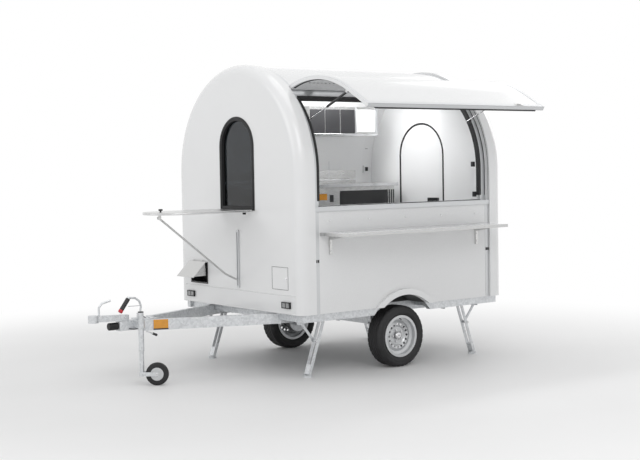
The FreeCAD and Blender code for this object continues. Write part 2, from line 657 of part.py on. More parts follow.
# ---------------------------------------------------------------- front window, flap and slide rail
frame_back = half_length - S.cap_wall
lip_half = window_half + S.window_lip_width
lip_bottom = S.window_sill - S.window_lip_width
frame_ring = profile("window_ring", "x", arch(window_half, S.window_sill, S.window_spring, S.window_y),
                     frame_back - S.window_lip, half_length + S.window_lip)
outer_lip = profile("window_outer_lip", "x",
                    arch(lip_half, lip_bottom, S.window_spring, S.window_y),
                    half_length, half_length + S.window_lip)
frame_gap = profile("window_frame_gap", "x",
                    arch(window_half - S.window_frame_wall, S.window_sill + S.window_frame_wall,
                         S.window_spring, S.window_y),
                    frame_back - 50, half_length + 50)
node("window_frame", cut("window_frame", joined("window_surround", frame_ring, outer_lip), frame_gap))
glass_x = frame_back + 6
node("window_glass", profile("window_glass", "x",
                             arch(window_half - S.window_frame_wall, S.window_sill + S.window_frame_wall,
                                  S.window_spring, S.window_y),
                             glass_x, glass_x + S.glass_wall))

flap_hinge_x = half_length + S.flap_gap
flap_half = S.flap_width / 2
flap_straight = S.flap_reach - flap_half
flap_low = -S.flap_wall / 2
flap_high = S.flap_wall / 2
board_start = S.hinge_radius + 1 - S.flap_board_set
flap_outline = [(board_start, -flap_half), (flap_straight, -flap_half), Arc((flap_straight, 0), 1),
                (flap_straight, flap_half), (board_start, flap_half)]
flap_board = profile("flap_board", "z", flap_outline, flap_low, flap_high)
flap_ear_x = S.flap_reach - S.flap_strut_back
ear_a = block("flap_ear_a", (flap_ear_x - 14, 12, flap_low - S.flap_strut_drop - 12), (flap_ear_x + 14, 18, flap_low))
ear_pin = rod("flap_ear_pin", 5, "y", (flap_ear_x, -10, flap_low - S.flap_strut_drop), 26)
flap_barrels = []
wall_barrels = []
for index, y in enumerate((-200, 200)):
    barrel = rod(f"flap_barrel_{index}", S.hinge_radius, "y", (-S.flap_board_set, y - third / 2 + 0.5, 0), third - 1)
    hole = rod(f"flap_barrel_bore_{index}", hinge_bore, "y", (-S.flap_board_set, y - third, 0), third * 2)
    web = block(f"flap_web_{index}", (2 - S.flap_board_set, y - third / 2 + 0.5, flap_low + 4),
                (board_start + 1, y + third / 2 - 0.5, flap_high - 4))
    flap_barrels.append(cut(f"flap_knuckle_{index}", joined(f"flap_knuckle_solid_{index}", barrel, web), hole))
flap_origin = (flap_hinge_x + S.flap_board_set, S.window_y, S.flap_height)
node("front_flap", joined("front_flap", flap_board, ear_a, ear_pin, *flap_barrels), flap_origin)
for index, y in enumerate((-200, 200)):
    middle = S.window_y + y
    pin = rod(f"wall_pin_{index}", S.hinge_pin, "y", (flap_hinge_x, middle - third * 1.5, S.flap_height), third * 3)
    for part, shift in (("a", -1.5), ("b", 0.5)):
        base = block(f"wall_lug_{part}_{index}", (half_length, middle + third * shift, S.flap_height - S.hinge_radius),
                     (flap_hinge_x, middle + third * (shift + 1), lip_bottom - 1))
        knuckle = rod(f"wall_knuckle_{part}_{index}", S.hinge_radius, "y",
                      (flap_hinge_x, middle + third * shift, S.flap_height), third)
        wall_barrels.extend((base, knuckle))
    wall_barrels.append(pin)
wall_hinges = [joined("flap_hinge_a", *wall_barrels[:5]), joined("flap_hinge_b", *wall_barrels[5:])]
node("flap_hinges", together("flap_hinges", *wall_hinges))

rail_face = half_length + S.slide_rail_depth
rail_body = block("rail_body", (half_length, S.window_y - S.slide_rail_width / 2, S.slide_rail_bottom),
                  (rail_face, S.window_y + S.slide_rail_width / 2, S.slide_rail_top))
rail_slot = block("rail_slot", (half_length + 4, S.window_y - 8, S.slide_rail_bottom + 20),
                  (rail_face + 10, S.window_y + 8, S.slide_rail_top - 20))
node("flap_slide_rail", cut("flap_slide_rail", rail_body, rail_slot))

strut_top = (flap_hinge_x + S.flap_board_set + flap_ear_x, S.window_y, S.flap_height + flap_low - S.flap_strut_drop)
strut_low_x = rail_face + 14
strut_drop = root(S.flap_strut_length * S.flap_strut_length
                  - (strut_top[0] - strut_low_x) * (strut_top[0] - strut_low_x))
flap_strut_run = V(strut_low_x.value - strut_top[0].value, 0, -strut_drop.value)
flap_strut_turn = FreeCAD.Rotation(V(0, 0, 1), flap_strut_run)
crank_point = (-S.flap_strut_crank, 0, S.flap_strut_straight)
strut_bar = slant_rod("flap_strut_bar", S.flap_strut_radius, (0, 0, 0), crank_point)
strut_crank = slant_rod("flap_strut_crank", S.flap_strut_radius, crank_point, (0, 0, S.flap_strut_length))
strut_eye = rod("flap_strut_eye", 15, "y", (0, -6, 0), 12)
strut_eye_bore = rod("flap_strut_bore", 5 + S.hinge_fit, "y", (0, -10, 0), 20)
strut_solid = joined("flap_strut_solid", strut_bar, strut_crank, strut_eye)
node("flap_strut", cut("flap_strut", strut_solid, strut_eye_bore), strut_top, flap_strut_turn)

# ---------------------------------------------------------------- supply inlet
inlet_box_outside = block("inlet_box_outside",
                          (half_length - 130, S.inlet_y - S.inlet_width / 2 + 10, S.inlet_top - S.inlet_height + 5),
                          (half_length + 2, S.inlet_y + S.inlet_width / 2 - 10, S.inlet_top - 10))
inlet_box_inside = block("inlet_box_inside",
                         (half_length - 127, S.inlet_y - S.inlet_width / 2 + 13, S.inlet_top - S.inlet_height + 8),
                         (half_length + 12, S.inlet_y + S.inlet_width / 2 - 13, S.inlet_top - 13))
inlet_lug = block("inlet_lug", (half_length, S.inlet_y - 60, S.inlet_top + 2),
                  (half_length + 18, S.inlet_y + 60, S.inlet_top + 8))
inlet_knuckle = rod("inlet_knuckle", 4, "y", (half_length + 18, S.inlet_y - 92, S.inlet_top + 5), 184)
node("inlet_box", cut("inlet_box", inlet_box_outside, inlet_box_inside))
inlet_turn = FreeCAD.Rotation(V(0, 1, 0), -S.inlet_open.value)
inlet_pivot = (half_length + 18, S.inlet_y, S.inlet_top + 5)
node("inlet_hinge", joined("inlet_hinge", inlet_lug, inlet_knuckle))
half_inlet = S.inlet_width / 2
inlet_leaf = block("inlet_leaf", (-3, -half_inlet, -S.inlet_height), (0, half_inlet, -6))
inlet_sleeves = []
for index, y in enumerate((-90, 61)):
    sleeve = rod(f"inlet_sleeve_{index}", 7, "y", (0, y, 0), 29)
    tie = block(f"inlet_tie_{index}", (-3, y, -12), (0, y + 29, -3))
    inlet_sleeves.extend((sleeve, tie))
inlet_ends = rod("inlet_ends", 4 + S.hinge_fit, "y", (0, -200, 0), 400)
node("inlet_flap", cut("inlet_flap", joined("inlet_flap_solid", inlet_leaf, *inlet_sleeves), inlet_ends),
     inlet_pivot, inlet_turn)

# ---------------------------------------------------------------- rear door
door_outer = -half_length
door_leaf = profile("door_leaf", "x", arch(door_half, S.door_bottom, S.door_spring, S.door_y),
                    door_outer, door_outer + S.door_wall)
door_hinge_x = door_outer - 14
door_hinge_y = S.door_y - door_half - S.door_play / 2
door_parts = [door_leaf]
door_hinges = []
for index, z in enumerate((850, 1350, 1850)):
    sleeve = rod(f"door_sleeve_{index}", S.hinge_radius, "z", (door_hinge_x, door_hinge_y, z + 0.5), third - 1)
    strap = block(f"door_strap_{index}", (door_hinge_x + 3, door_hinge_y, z + 0.5),
                  (door_outer + 1, door_hinge_y + 60, z + third - 0.5))
    hole = rod(f"door_sleeve_bore_{index}", hinge_bore, "z", (door_hinge_x, door_hinge_y, z - 10), third + 20)
    door_parts.append(cut(f"door_knuckle_{index}", joined(f"door_knuckle_solid_{index}", sleeve, strap), hole))
    pin = rod(f"door_pin_{index}", S.hinge_pin, "z", (door_hinge_x, door_hinge_y, z - third), third * 3)
    fixed = [pin]
    for part, low in (("a", z - third), ("b", z + third)):
        knuckle = rod(f"door_fixed_{part}_{index}", S.hinge_radius, "z", (door_hinge_x, door_hinge_y, low), third)
        plate = block(f"door_plate_{part}_{index}", (door_hinge_x + 3, door_hinge_y - 60, low),
                      (door_outer, door_hinge_y, low + third))
        fixed.extend((knuckle, plate))
    door_hinges.append(joined(f"door_hinge_{index}", *fixed))
node("rear_door", joined("rear_door", *door_parts))
node("door_hinges", together("door_hinges", *door_hinges))

# ---------------------------------------------------------------- shelf, counter and hood
shelf_half = S.shelf_length / 2
shelf_out = shell_outer + S.shelf_depth
shelf_outline = [(-shelf_half, shell_outer), (shelf_half, shell_outer), (shelf_half, shelf_out),
                 (-shelf_half, shelf_out)]
shelf_board = profile("shelf_board", "z", shelf_outline, S.shelf_height - S.shelf_wall, S.shelf_height)
shelf_parts = [shelf_board]
for side, sign in (("front", 1), ("rear", -1)):
    middle = S.bracket_x * sign
    low = middle - S.bracket_width / 2
    high = middle + S.bracket_width / 2
    under = S.shelf_height - S.shelf_wall
    brace = [(shell_outer, under), (shell_outer, under - S.bracket_drop), (shell_outer + 14, under - S.bracket_drop),
             (shell_outer + 14, under - 40), (shelf_out - 60, under)]
    shelf_parts.append(profile(f"{side}_shelf_bracket", "x", brace, low, high))
node("outside_shelf", joined("outside_shelf", *shelf_parts))

worktop_edge = frame_inner
node("serving_worktop", block("serving_worktop",
                              (-cap_x + 100, worktop_edge - S.worktop_depth, S.worktop_height - S.worktop_wall),
                              (-cap_x + 100 + S.worktop_length, worktop_edge, S.worktop_height)))
counter_back = -shell_inner
counter_front = counter_back + S.counter_depth
counter_left = half_length - S.cap_wall - 8
counter_body = block("counter_body", (S.counter_end, counter_back, S.underside + S.floor_depth),
                     (counter_left - 300, counter_front - 40, S.counter_top - S.counter_wall))
well_space = block("well_space", (S.wheel_x - 480, counter_back - 10, S.underside),
                   (S.wheel_x + 480, -S.well_inner + 10, S.arch_height + well_radius + 10))
shelf_space = block("shelf_space", (S.counter_end + 30, counter_back + 30, S.underside + S.floor_depth + 160),
                    (counter_left - 330, counter_front + 10, S.counter_top - S.counter_wall - 60))
counter_slab = block("counter_slab", (S.counter_end - 20, counter_back, S.counter_top - S.counter_wall),
                     (counter_left - 280, counter_front, S.counter_top))
splash = block("splash", (S.splash_end, counter_back, S.counter_top), (counter_left - 280, counter_back + 4, spring))
node("kitchen_counter", joined("kitchen_counter",
                               cut("counter_shell", counter_body, well_space, shelf_space),
                               counter_slab, splash))
hood_box = block("hood_box", (S.hood_end, -shell_inner, S.hood_bottom), (0, -shell_inner + 480, S.hood_bottom + S.hood_height))
hood_outline_tool = profile("hood_inside", "x", arch(shell_inner - 0.3, S.underside, spring), -cap_x, cap_x)
node("extractor_hood", common("extractor_hood", hood_box, hood_outline_tool))

# ---------------------------------------------------------------- lamps and plate
lamp_parts = []
for side, sign in (("near", 1), ("far", -1)):
    low_y = S.body_width * 0.365 if sign > 0 else -S.body_width * 0.365 - 110
    lamp_parts.append(block(f"{side}_marker", (half_length, low_y, 640), (half_length + 16, low_y + 110, 692)))
node("marker_lamps", together("marker_lamps", *lamp_parts))
rear_lamp_parts = []
for side, sign in (("near", 1), ("far", -1)):
    low_y = S.body_width * 0.33 if sign > 0 else -S.body_width * 0.33 - 220
    rear_lamp_parts.append(block(f"{side}_tail", (-half_length - 30, low_y, 640), (-half_length, low_y + 220, 740)))
node("rear_lamps", together("rear_lamps", *rear_lamp_parts))
node("number_plate", block("number_plate", (-half_length - 6, 230, 760), (-half_length, 750, 870)))

# ---------------------------------------------------------------- coupling
coupling_z = beam_top
housing = block("housing", (S.housing_start, -S.housing_width / 2, coupling_z - S.housing_height),
                (S.housing_end, S.housing_width / 2, coupling_z))
deck_half = S.beam_tip_y + half_beam
deck_top = beam_top + 8
deck = block("housing_deck", (S.housing_start - 140, -deck_half, beam_top), (S.beam_tip_x, deck_half, deck_top))
node("overrun_housing", joined("overrun_housing", housing, deck))
shaft_z = coupling_z - S.housing_height / 2
node("coupling_bellows", rod("coupling_bellows", S.bellows_radius, "x", (S.housing_end, 0, shaft_z),
                             S.bellows_length))
head_bottom = S.head_height - 20
head_top_z = S.head_height + 44
cover_outline = [(S.head_back, coupling_z), (S.housing_end + S.bellows_length + 40, coupling_z + 4),
                 (S.socket_x, head_bottom + 10), (S.socket_x, head_top_z - 6),
                 (S.socket_x - 70, head_top_z - 6), (S.head_back, coupling_z + 50)]
head_cover = profile("head_cover", "y", cover_outline, -28, 28)
head_cup = rod("head_cup", S.head_cup, "z", (S.socket_x, 0, head_bottom), 64)
socket = rod("socket", S.ball_radius, "z", (S.socket_x, 0, head_bottom - 10), 40)
dome = doc.addObject("Part::Sphere", "socket_dome")
bind(dome, "Radius", S.ball_radius)
place(dome, (S.socket_x, 0, head_bottom + 30))
node("coupling_head", cut("coupling_head", joined("head_solid", head_cover, head_cup), socket, dome))


def bent_rod(name, radius, points):
    """Straight rods end to end through the points, each pair overlapping a little."""
    pieces = []
    for index in range(len(points) - 1):
        pieces.append(slant_rod(f"{name}_{index}", radius, points[index], points[index + 1]))
    return pieces


handle_x = S.socket_x - 55
handle_points = [(handle_x, 0, head_top_z - 12), (handle_x, 0, head_top_z + 63), (handle_x - 30, 0, head_top_z + 98),
                 (handle_x - 115, 0, head_top_z + 118)]
handle = joined("handle_solid", *bent_rod("handle", S.handle_radius, handle_points))
handle_foot = block("handle_foot", (handle_x - 60, -50, head_bottom), (handle_x + 60, 50, head_top_z - 6))
node("coupling_handle", cut("coupling_handle", handle, handle_foot))

lever_x = S.housing_start - 4
lever_foot = block("lever_foot", (lever_x - 24, -14, deck_top), (lever_x + 26, 14, deck_top + 46))
lever_points = [(lever_x, 0, deck_top + 40), (lever_x - 12, 0, deck_top + 108), (lever_x + 6, 0, deck_top + 152),
                (lever_x + 44, 0, deck_top + 180), (lever_x + 106, 0, deck_top + 186)]
grip = slant_rod("lever_grip", S.grip_radius, (lever_x + 106, 0, deck_top + 190), (lever_x + 192, 0, deck_top + 74))
lever = bent_rod("lever", S.handle_radius, lever_points)
node("handbrake_lever", joined("handbrake_lever", lever_foot, grip, *lever))

# ---------------------------------------------------------------- jockey wheel
clamp_low = coupling_z - 66
clamp = block("clamp", (S.beam_tip_x, S.housing_width / 2, clamp_low), (S.jockey_x + 34, S.jockey_y, clamp_low + 62))
collar = rod("collar", S.jockey_tube + 10, "z", (S.jockey_x, S.jockey_y, clamp_low), 62)
outer_tube = rod("outer_tube", S.jockey_tube, "z", (S.jockey_x, S.jockey_y, S.jockey_tube_bottom),
                 S.jockey_top - S.jockey_tube_bottom)
tube_bore = rod("tube_bore", S.jockey_inner + S.jockey_fit, "z", (S.jockey_x, S.jockey_y, S.jockey_tube_bottom - 10),
                S.jockey_top - S.jockey_tube_bottom - 10)
node("jockey_clamp", cut("jockey_clamp", joined("clamp_solid", clamp, collar, outer_tube), tube_bore))
inner_tube = rod("inner_tube", S.jockey_inner, "z", (0, 0, S.jockey_radius + 14), S.jockey_top - S.jockey_radius - 60)
fork_parts = [inner_tube]
fork_half = S.jockey_width / 2 + 6
fork_parts.append(block("fork_bridge", (-20, -fork_half - 5, S.jockey_radius - 16), (26, fork_half + 5, S.jockey_radius + 20)))
for side, sign in (("near", 1), ("far", -1)):
    low_y = fork_half if sign > 0 else -fork_half - 5
    fork_parts.append(block(f"fork_{side}", (-20, low_y, S.jockey_radius - 16), (S.jockey_trail + 16, low_y + 5, S.jockey_radius + 20)))
fork_parts.append(rod("fork_axle", 8, "y", (S.jockey_trail, -fork_half - 5, S.jockey_radius), fork_half * 2 + 10))
jockey_turn = FreeCAD.Rotation(V(0, 0, 1), S.jockey_turn.value)
jockey_base = (S.jockey_x, S.jockey_y, 0)
node("jockey_stem", joined("jockey_stem", *fork_parts), jockey_base, jockey_turn)
jockey_half = S.jockey_width / 2
roller_outline = [(-jockey_half, 8.05), (-jockey_half, 44), (-jockey_half + 3, S.jockey_radius - 12),
                  (-jockey_half + 12, S.jockey_radius), (jockey_half - 12, S.jockey_radius),
                  (jockey_half - 3, S.jockey_radius - 12), (jockey_half, 44), (jockey_half, 8.05)]
roller_place = jockey_turn.multVec(V(S.jockey_trail.value, 0, 0))
node("jockey_wheel", turned("jockey_wheel", roller_outline),
     (S.jockey_x + roller_place.x, S.jockey_y + roller_place.y, S.jockey_radius), jockey_turn)

# ---------------------------------------------------------------- corner steadies
half_steady = S.steady_width / 2
brace_low = -S.steady_spindle - 13
brace_high = -S.steady_spindle - 6
pin_bore = S.steady_pin + S.hinge_fit


def steady_mount(name, end_sign, y):
    """The plates under the floor that carry one steady's pin and spindle."""
    plate_low = y - half_steady - 14
    plate_high = y - half_steady - 8
    inner, outer = S.steady_inner * end_sign, (S.steady_hinge + 20) * end_sign
    low_x, high_x = (inner, outer) if end_sign > 0 else (outer, inner)
    top = block(f"steady_top_{name}", (low_x, plate_low, S.underside - 25), (high_x, plate_high, S.underside))
    hinge_x = S.steady_hinge * end_sign
    drop = block(f"steady_drop_{name}", (hinge_x - 20, plate_low, S.steady_top - 18),
                 (hinge_x + 20, plate_high, S.underside))
    pin = rod(f"steady_pin_{name}", S.steady_pin, "y", (hinge_x, plate_low, S.steady_top),
              half_steady + 14 - S.steady_spindle - 5)
    parts = [top, drop, pin]
    for letter, edge in (("a", low_x), ("b", high_x - 6)):
        parts.append(block(f"steady_end_{letter}_{name}", (edge, plate_low, S.steady_top - 18),
                           (edge + 6, y + 12, S.underside)))
    parts.append(rod(f"steady_spindle_{name}", S.steady_spindle, "x", (low_x, y, S.steady_top), high_x - low_x))
    return joined(f"steady_mount_{name}", *parts)


bracket_parts = []
for end, end_sign in (("front", 1), ("rear", -1)):
    for side, side_sign in (("left", 1), ("right", -1)):
        name = f"{end}_{side}"
        y = S.steady_y * side_sign
        bracket_parts.append(steady_mount(name, end_sign, y))
        hinge_x = S.steady_hinge * end_sign
        nut_x = S.steady_nut * end_sign
        elbow_run = V((S.steady_elbow_x - S.steady_hinge).value * end_sign, 0,
                      (S.steady_elbow_z - S.steady_top).value)
        brace_length = elbow_run.Length
        brace_turn = FreeCAD.Rotation(V(0, 0, 1), elbow_run)
        arm = block(f"brace_arm_{name}", (-12, brace_low, 0), (12, brace_high, brace_length))
        eye = rod(f"brace_eye_{name}", 12, "y", (0, brace_low, 0), brace_high - brace_low)
        knee = rod(f"brace_knee_{name}", 12, "y", (0, brace_low, brace_length), brace_high - brace_low)
        bolt = rod(f"brace_bolt_{name}", S.steady_pin, "y", (0, -half_steady, brace_length), S.steady_width)
        hole = rod(f"brace_hole_{name}", pin_bore, "y", (0, brace_low - 10, 0), 30)
        brace = cut(f"brace_{name}", joined(f"brace_solid_{name}", arm, eye, knee, bolt), hole)
        node(f"steady_brace_{name}", brace, (hinge_x, y, S.steady_top), brace_turn)

        leg_run = V((S.steady_foot - S.steady_nut).value * end_sign, 0, (S.foot_height - S.steady_top).value)
        leg_length = leg_run.Length
        leg_turn = FreeCAD.Rotation(V(0, 0, 1), leg_run)
        back_turn = leg_turn.inverted()
        channel = block(f"leg_channel_{name}", (-16, -half_steady, 0), (16, half_steady, leg_length))
        hollow = block(f"leg_hollow_{name}", (-60, S.steady_wall - half_steady, -10),
                       (60, half_steady - S.steady_wall, leg_length - 90))
        elbow = back_turn.multVec(elbow_run + V((hinge_x - nut_x).value, 0, 0))
        lug = rod(f"leg_lug_{name}", 14, "y", (elbow.x, -half_steady, elbow.z), S.steady_width)
        knee_hole = rod(f"leg_hole_{name}", pin_bore, "y", (elbow.x, -60, elbow.z), 120)
        sole = back_turn.multVec(V(leg_run.x, 0, -S.steady_top.value))
        foot = doc.addObject("Part::Cylinder", f"leg_foot_{name}")
        bind(foot, "Radius", S.foot_radius)
        bind(foot, "Height", S.foot_height)
        place(foot, (sole.x, 0, sole.z), back_turn)
        shank = cut(f"leg_shank_{name}", joined(f"leg_solid_{name}", channel, lug), hollow, knee_hole)
        below = doc.addObject("Part::Box", f"leg_below_{name}")
        for prop, amount in (("Length", 200), ("Width", 200), ("Height", 100)):
            bind(below, prop, amount)
        corner = back_turn.multVec(V(leg_run.x - 100, 0, -S.steady_top.value - 100))
        place(below, (corner.x, -100, corner.z), back_turn)
        leg = cut(f"leg_{name}", joined(f"leg_whole_{name}", shank, foot), below)
        node(f"steady_leg_{name}", leg, (nut_x, y, S.steady_top), leg_turn)
node("steady_brackets", together("steady_brackets", *bracket_parts))

# ---------------------------------------------------------------- checks and export
doc.recompute()
for item in doc.Objects:
    if "Invalid" in item.State or "Error" in item.State:
        raise RuntimeError(f"{item.Name} ({item.Label}) failed: {item.State}")
for piece in nodes:
    if piece.Shape.isNull() or not piece.Shape.isValid():
        raise RuntimeError(f"{piece.Label} has no valid shape")
os.makedirs("parts", exist_ok=True)
for piece in nodes:
    piece.Shape.exportStep(f"parts/{piece.Label}.step")
print(len(nodes), "sub-parts written")
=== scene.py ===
import json
import math

import bmesh
import bpy
from mathutils import Matrix, Vector


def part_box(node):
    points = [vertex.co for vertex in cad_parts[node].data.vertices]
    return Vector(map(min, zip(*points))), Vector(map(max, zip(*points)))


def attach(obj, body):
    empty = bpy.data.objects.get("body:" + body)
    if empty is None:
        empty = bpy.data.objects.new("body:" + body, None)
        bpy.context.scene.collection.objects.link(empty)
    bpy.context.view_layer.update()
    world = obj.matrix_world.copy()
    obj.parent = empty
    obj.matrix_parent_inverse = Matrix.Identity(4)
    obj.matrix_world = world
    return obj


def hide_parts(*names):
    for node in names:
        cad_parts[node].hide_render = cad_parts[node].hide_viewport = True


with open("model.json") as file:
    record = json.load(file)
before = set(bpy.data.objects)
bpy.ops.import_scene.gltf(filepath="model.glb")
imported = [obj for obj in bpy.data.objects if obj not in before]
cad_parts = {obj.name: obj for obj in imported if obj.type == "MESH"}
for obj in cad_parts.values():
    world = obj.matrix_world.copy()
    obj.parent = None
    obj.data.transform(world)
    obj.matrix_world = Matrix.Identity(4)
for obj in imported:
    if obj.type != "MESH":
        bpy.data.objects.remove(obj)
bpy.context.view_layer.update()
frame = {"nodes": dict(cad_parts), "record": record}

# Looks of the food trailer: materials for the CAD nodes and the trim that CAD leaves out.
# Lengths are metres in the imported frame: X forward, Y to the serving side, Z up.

nodes = frame["nodes"]
record = frame["record"]


def corners(name):
    low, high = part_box(name)
    return Vector(low), Vector(high)


# the trailer's own middle, from a side panel and the front cap
near_low, near_high = corners("serving_side_panel")
cap_low, cap_high = corners("front_cap")
MID_X = (near_low.x + near_high.x) / 2
MID_Y = (cap_low.y + cap_high.y) / 2
HALF_WIDTH = (cap_high.y - cap_low.y) / 2
MIDDLE = Vector((MID_X, MID_Y, 0))
SPRING = cap_high.z - HALF_WIDTH
UNDERSIDE = cap_low.z


def at(x, y, z):
    """A point given from the middle of the trailer's body, in metres."""
    return Vector((MID_X + x, MID_Y + y, z))


# ---------------------------------------------------------------- materials
def new_material(name):
    made = bpy.data.materials.new(name)
    made.use_nodes = True
    tree = made.node_tree
    return made, tree, tree.nodes["Principled BSDF"]


def add(tree, kind, operation=None):
    made = tree.nodes.new(kind)
    if operation:
        made.operation = operation
    return made


def coordinates(tree, stretch=(1, 1, 1)):
    source = add(tree, "ShaderNodeTexCoord")
    mapping = add(tree, "ShaderNodeMapping")
    mapping.inputs["Scale"].default_value = stretch
    tree.links.new(source.outputs["Object"], mapping.inputs["Vector"])
    return mapping.outputs["Vector"]


def noise(tree, vector, scale, detail=3.0, roughness=0.5):
    made = add(tree, "ShaderNodeTexNoise")
    made.inputs["Scale"].default_value = scale
    made.inputs["Detail"].default_value = detail
    made.inputs["Roughness"].default_value = roughness
    tree.links.new(vector, made.inputs["Vector"])
    return made.outputs["Fac"]


def ramp(tree, source, stops):
    made = add(tree, "ShaderNodeValToRGB")
    elements = made.color_ramp.elements
    elements[0].position, elements[0].color = stops[0][0], (*stops[0][1], 1)
    elements[1].position, elements[1].color = stops[-1][0], (*stops[-1][1], 1)
    for position, colour in stops[1:-1]:
        middle = elements.new(position)
        middle.color = (*colour, 1)
    tree.links.new(source, made.inputs["Fac"])
    return made.outputs["Color"]


def spread(tree, source, low, high):
    made = add(tree, "ShaderNodeMapRange")
    made.inputs["To Min"].default_value = low
    made.inputs["To Max"].default_value = high
    tree.links.new(source, made.inputs["Value"])
    return made.outputs["Result"]


def bump(tree, shader, source, strength, distance):
    made = add(tree, "ShaderNodeBump")
    made.inputs["Strength"].default_value = strength
    made.inputs["Distance"].default_value = distance
    tree.links.new(source, made.inputs["Height"])
    tree.links.new(made.outputs["Normal"], shader.inputs["Normal"])


def tint(colour, factor):
    return tuple(min(1.0, c * factor) for c in colour)


def finish_of(name, colour, metallic=0.0, roughness=(0.3, 0.4), patch=3.0, contrast=0.04,
              grain=200.0, relief=0.05, depth=0.0004, stretch=(1, 1, 1), coat=0.0):
    """A procedural finish: broad patches of tone, fine grain in gloss, and a fine relief."""
    made, tree, shader = new_material(name)
    vector = coordinates(tree, stretch)
    broad = noise(tree, vector, patch, 4.0)
    fine = noise(tree, vector, grain, 3.0)
    dark = tint(colour, 1 - contrast)
    light = tint(colour, 1 + contrast)
    colours = ramp(tree, broad, [(0.3, dark), (0.7, light)])
    tree.links.new(colours, shader.inputs["Base Color"])
    tree.links.new(spread(tree, fine, *roughness), shader.inputs["Roughness"])
    shader.inputs["Metallic"].default_value = metallic
    shader.inputs["Coat Weight"].default_value = coat
    shader.inputs["Coat Roughness"].default_value = 0.06
    bump(tree, shader, fine, relief, depth)
    return made


def galvanised_finish():
    """Hot-dip zinc: flat crystals of slightly different tone and gloss."""
    made, tree, shader = new_material("galvanised_steel")
    vector = coordinates(tree)
    crystals = add(tree, "ShaderNodeTexVoronoi")
    crystals.inputs["Scale"].default_value = 55
    tree.links.new(vector, crystals.inputs["Vector"])
    tone = add(tree, "ShaderNodeSeparateColor")
    tree.links.new(crystals.outputs["Color"], tone.inputs["Color"])
    dull = noise(tree, vector, 6, 4.0)
    mixed = add(tree, "ShaderNodeMath", operation="ADD")
    tree.links.new(tone.outputs["Red"], mixed.inputs[0])
    tree.links.new(dull, mixed.inputs[1])
    halved = add(tree, "ShaderNodeMath", operation="MULTIPLY")
    halved.inputs[1].default_value = 0.5
    tree.links.new(mixed.outputs["Value"], halved.inputs[0])
    stops = [(0.2, (0.56, 0.575, 0.59)), (0.8, (0.74, 0.755, 0.77))]
    colours = ramp(tree, halved.outputs["Value"], stops)
    tree.links.new(colours, shader.inputs["Base Color"])
    tree.links.new(spread(tree, halved.outputs["Value"], 0.36, 0.52), shader.inputs["Roughness"])
    shader.inputs["Metallic"].default_value = 0.75
    bump(tree, shader, noise(tree, vector, 90, 3.0), 0.08, 0.0005)
    return made


def glass_finish(name, colour, roughness=0.02, transmission=1.0):
    made, tree, shader = new_material(name)
    smears = noise(tree, coordinates(tree), 4, 2.0)
    gloss = spread(tree, smears, roughness, roughness + 0.02)
    tree.links.new(gloss, shader.inputs["Roughness"])
    shader.inputs["Base Color"].default_value = (*colour, 1)
    shader.inputs["Transmission Weight"].default_value = transmission
    shader.inputs["IOR"].default_value = 1.45
    return made


WHITE = (0.80, 0.805, 0.81)
MATERIALS = {
    "white_gelcoat": finish_of(
        "white_gelcoat", WHITE, roughness=(0.16, 0.24), patch=1.2, contrast=0.012, grain=420,
        relief=0.02, depth=0.0002, coat=0.5),
    "white_panel": finish_of(
        "white_panel", (0.79, 0.795, 0.80), roughness=(0.22, 0.32), patch=0.9, contrast=0.014,
        grain=300, relief=0.02, depth=0.0002, coat=0.25),
    "anodised": finish_of(
        "anodised_aluminium", (0.60, 0.61, 0.62), metallic=0.9, roughness=(0.3, 0.42), patch=2.0,
        grain=350, relief=0.03, stretch=(0.05, 1, 1)),
    "floor_board": finish_of(
        "floor_board", (0.23, 0.235, 0.24), roughness=(0.5, 0.7), patch=2.0, contrast=0.12,
        grain=140, relief=0.15),
    "black_plastic": finish_of(
        "black_plastic", (0.018, 0.018, 0.02), roughness=(0.35, 0.5), contrast=0.2, grain=300,
        relief=0.08),
    "galvanised": galvanised_finish(),
    "rubber": finish_of(
        "seal_rubber", (0.012, 0.012, 0.013), roughness=(0.5, 0.68), patch=4, contrast=0.25,
        grain=260, relief=0.1),
    "glass": glass_finish("window_glass", (0.02, 0.024, 0.028)),
    "stainless": finish_of(
        "brushed_stainless", (0.60, 0.60, 0.595), metallic=1.0, roughness=(0.2, 0.36), patch=2.5,
        contrast=0.05, grain=420, relief=0.04, depth=0.0002, stretch=(0.03, 1, 1)),
    "clear_lens": glass_finish("clear_lens", (0.86, 0.87, 0.88), 0.08, 0.6),
    "red_lens": finish_of(
        "red_lens", (0.42, 0.012, 0.012), roughness=(0.12, 0.2), patch=8, contrast=0.1, grain=120,
        relief=0.25, depth=0.001, coat=0.6),
    "amber_lens": finish_of(
        "amber_lens", (0.72, 0.30, 0.012), roughness=(0.12, 0.22), patch=8, contrast=0.12,
        grain=120, relief=0.3, depth=0.001, coat=0.6),
    "tyre_rubber": finish_of(
        "tyre_rubber", (0.016, 0.016, 0.017), roughness=(0.55, 0.78), patch=6, contrast=0.3,
        grain=240, relief=0.15),
    "silver_steel": finish_of(
        "silver_paint", (0.60, 0.61, 0.62), metallic=0.55, roughness=(0.28, 0.4), patch=5,
        contrast=0.05, grain=500, relief=0.04, coat=0.2),
    "cast_hub": finish_of(
        "cast_hub", (0.22, 0.22, 0.225), metallic=0.5, roughness=(0.5, 0.7), patch=20,
        contrast=0.25, grain=180, relief=0.3),
    "black_paint": finish_of(
        "black_paint", (0.014, 0.014, 0.015), roughness=(0.25, 0.38), patch=4, contrast=0.2,
        grain=400, relief=0.04, coat=0.3),
    "bright_steel": finish_of(
        "bright_steel", (0.70, 0.70, 0.71), metallic=1.0, roughness=(0.1, 0.2), patch=5, grain=400,
        relief=0.02),
    "red_plastic": finish_of(
        "red_plastic", (0.50, 0.02, 0.03), roughness=(0.3, 0.42), patch=6, contrast=0.1, grain=260,
        relief=0.06),
}
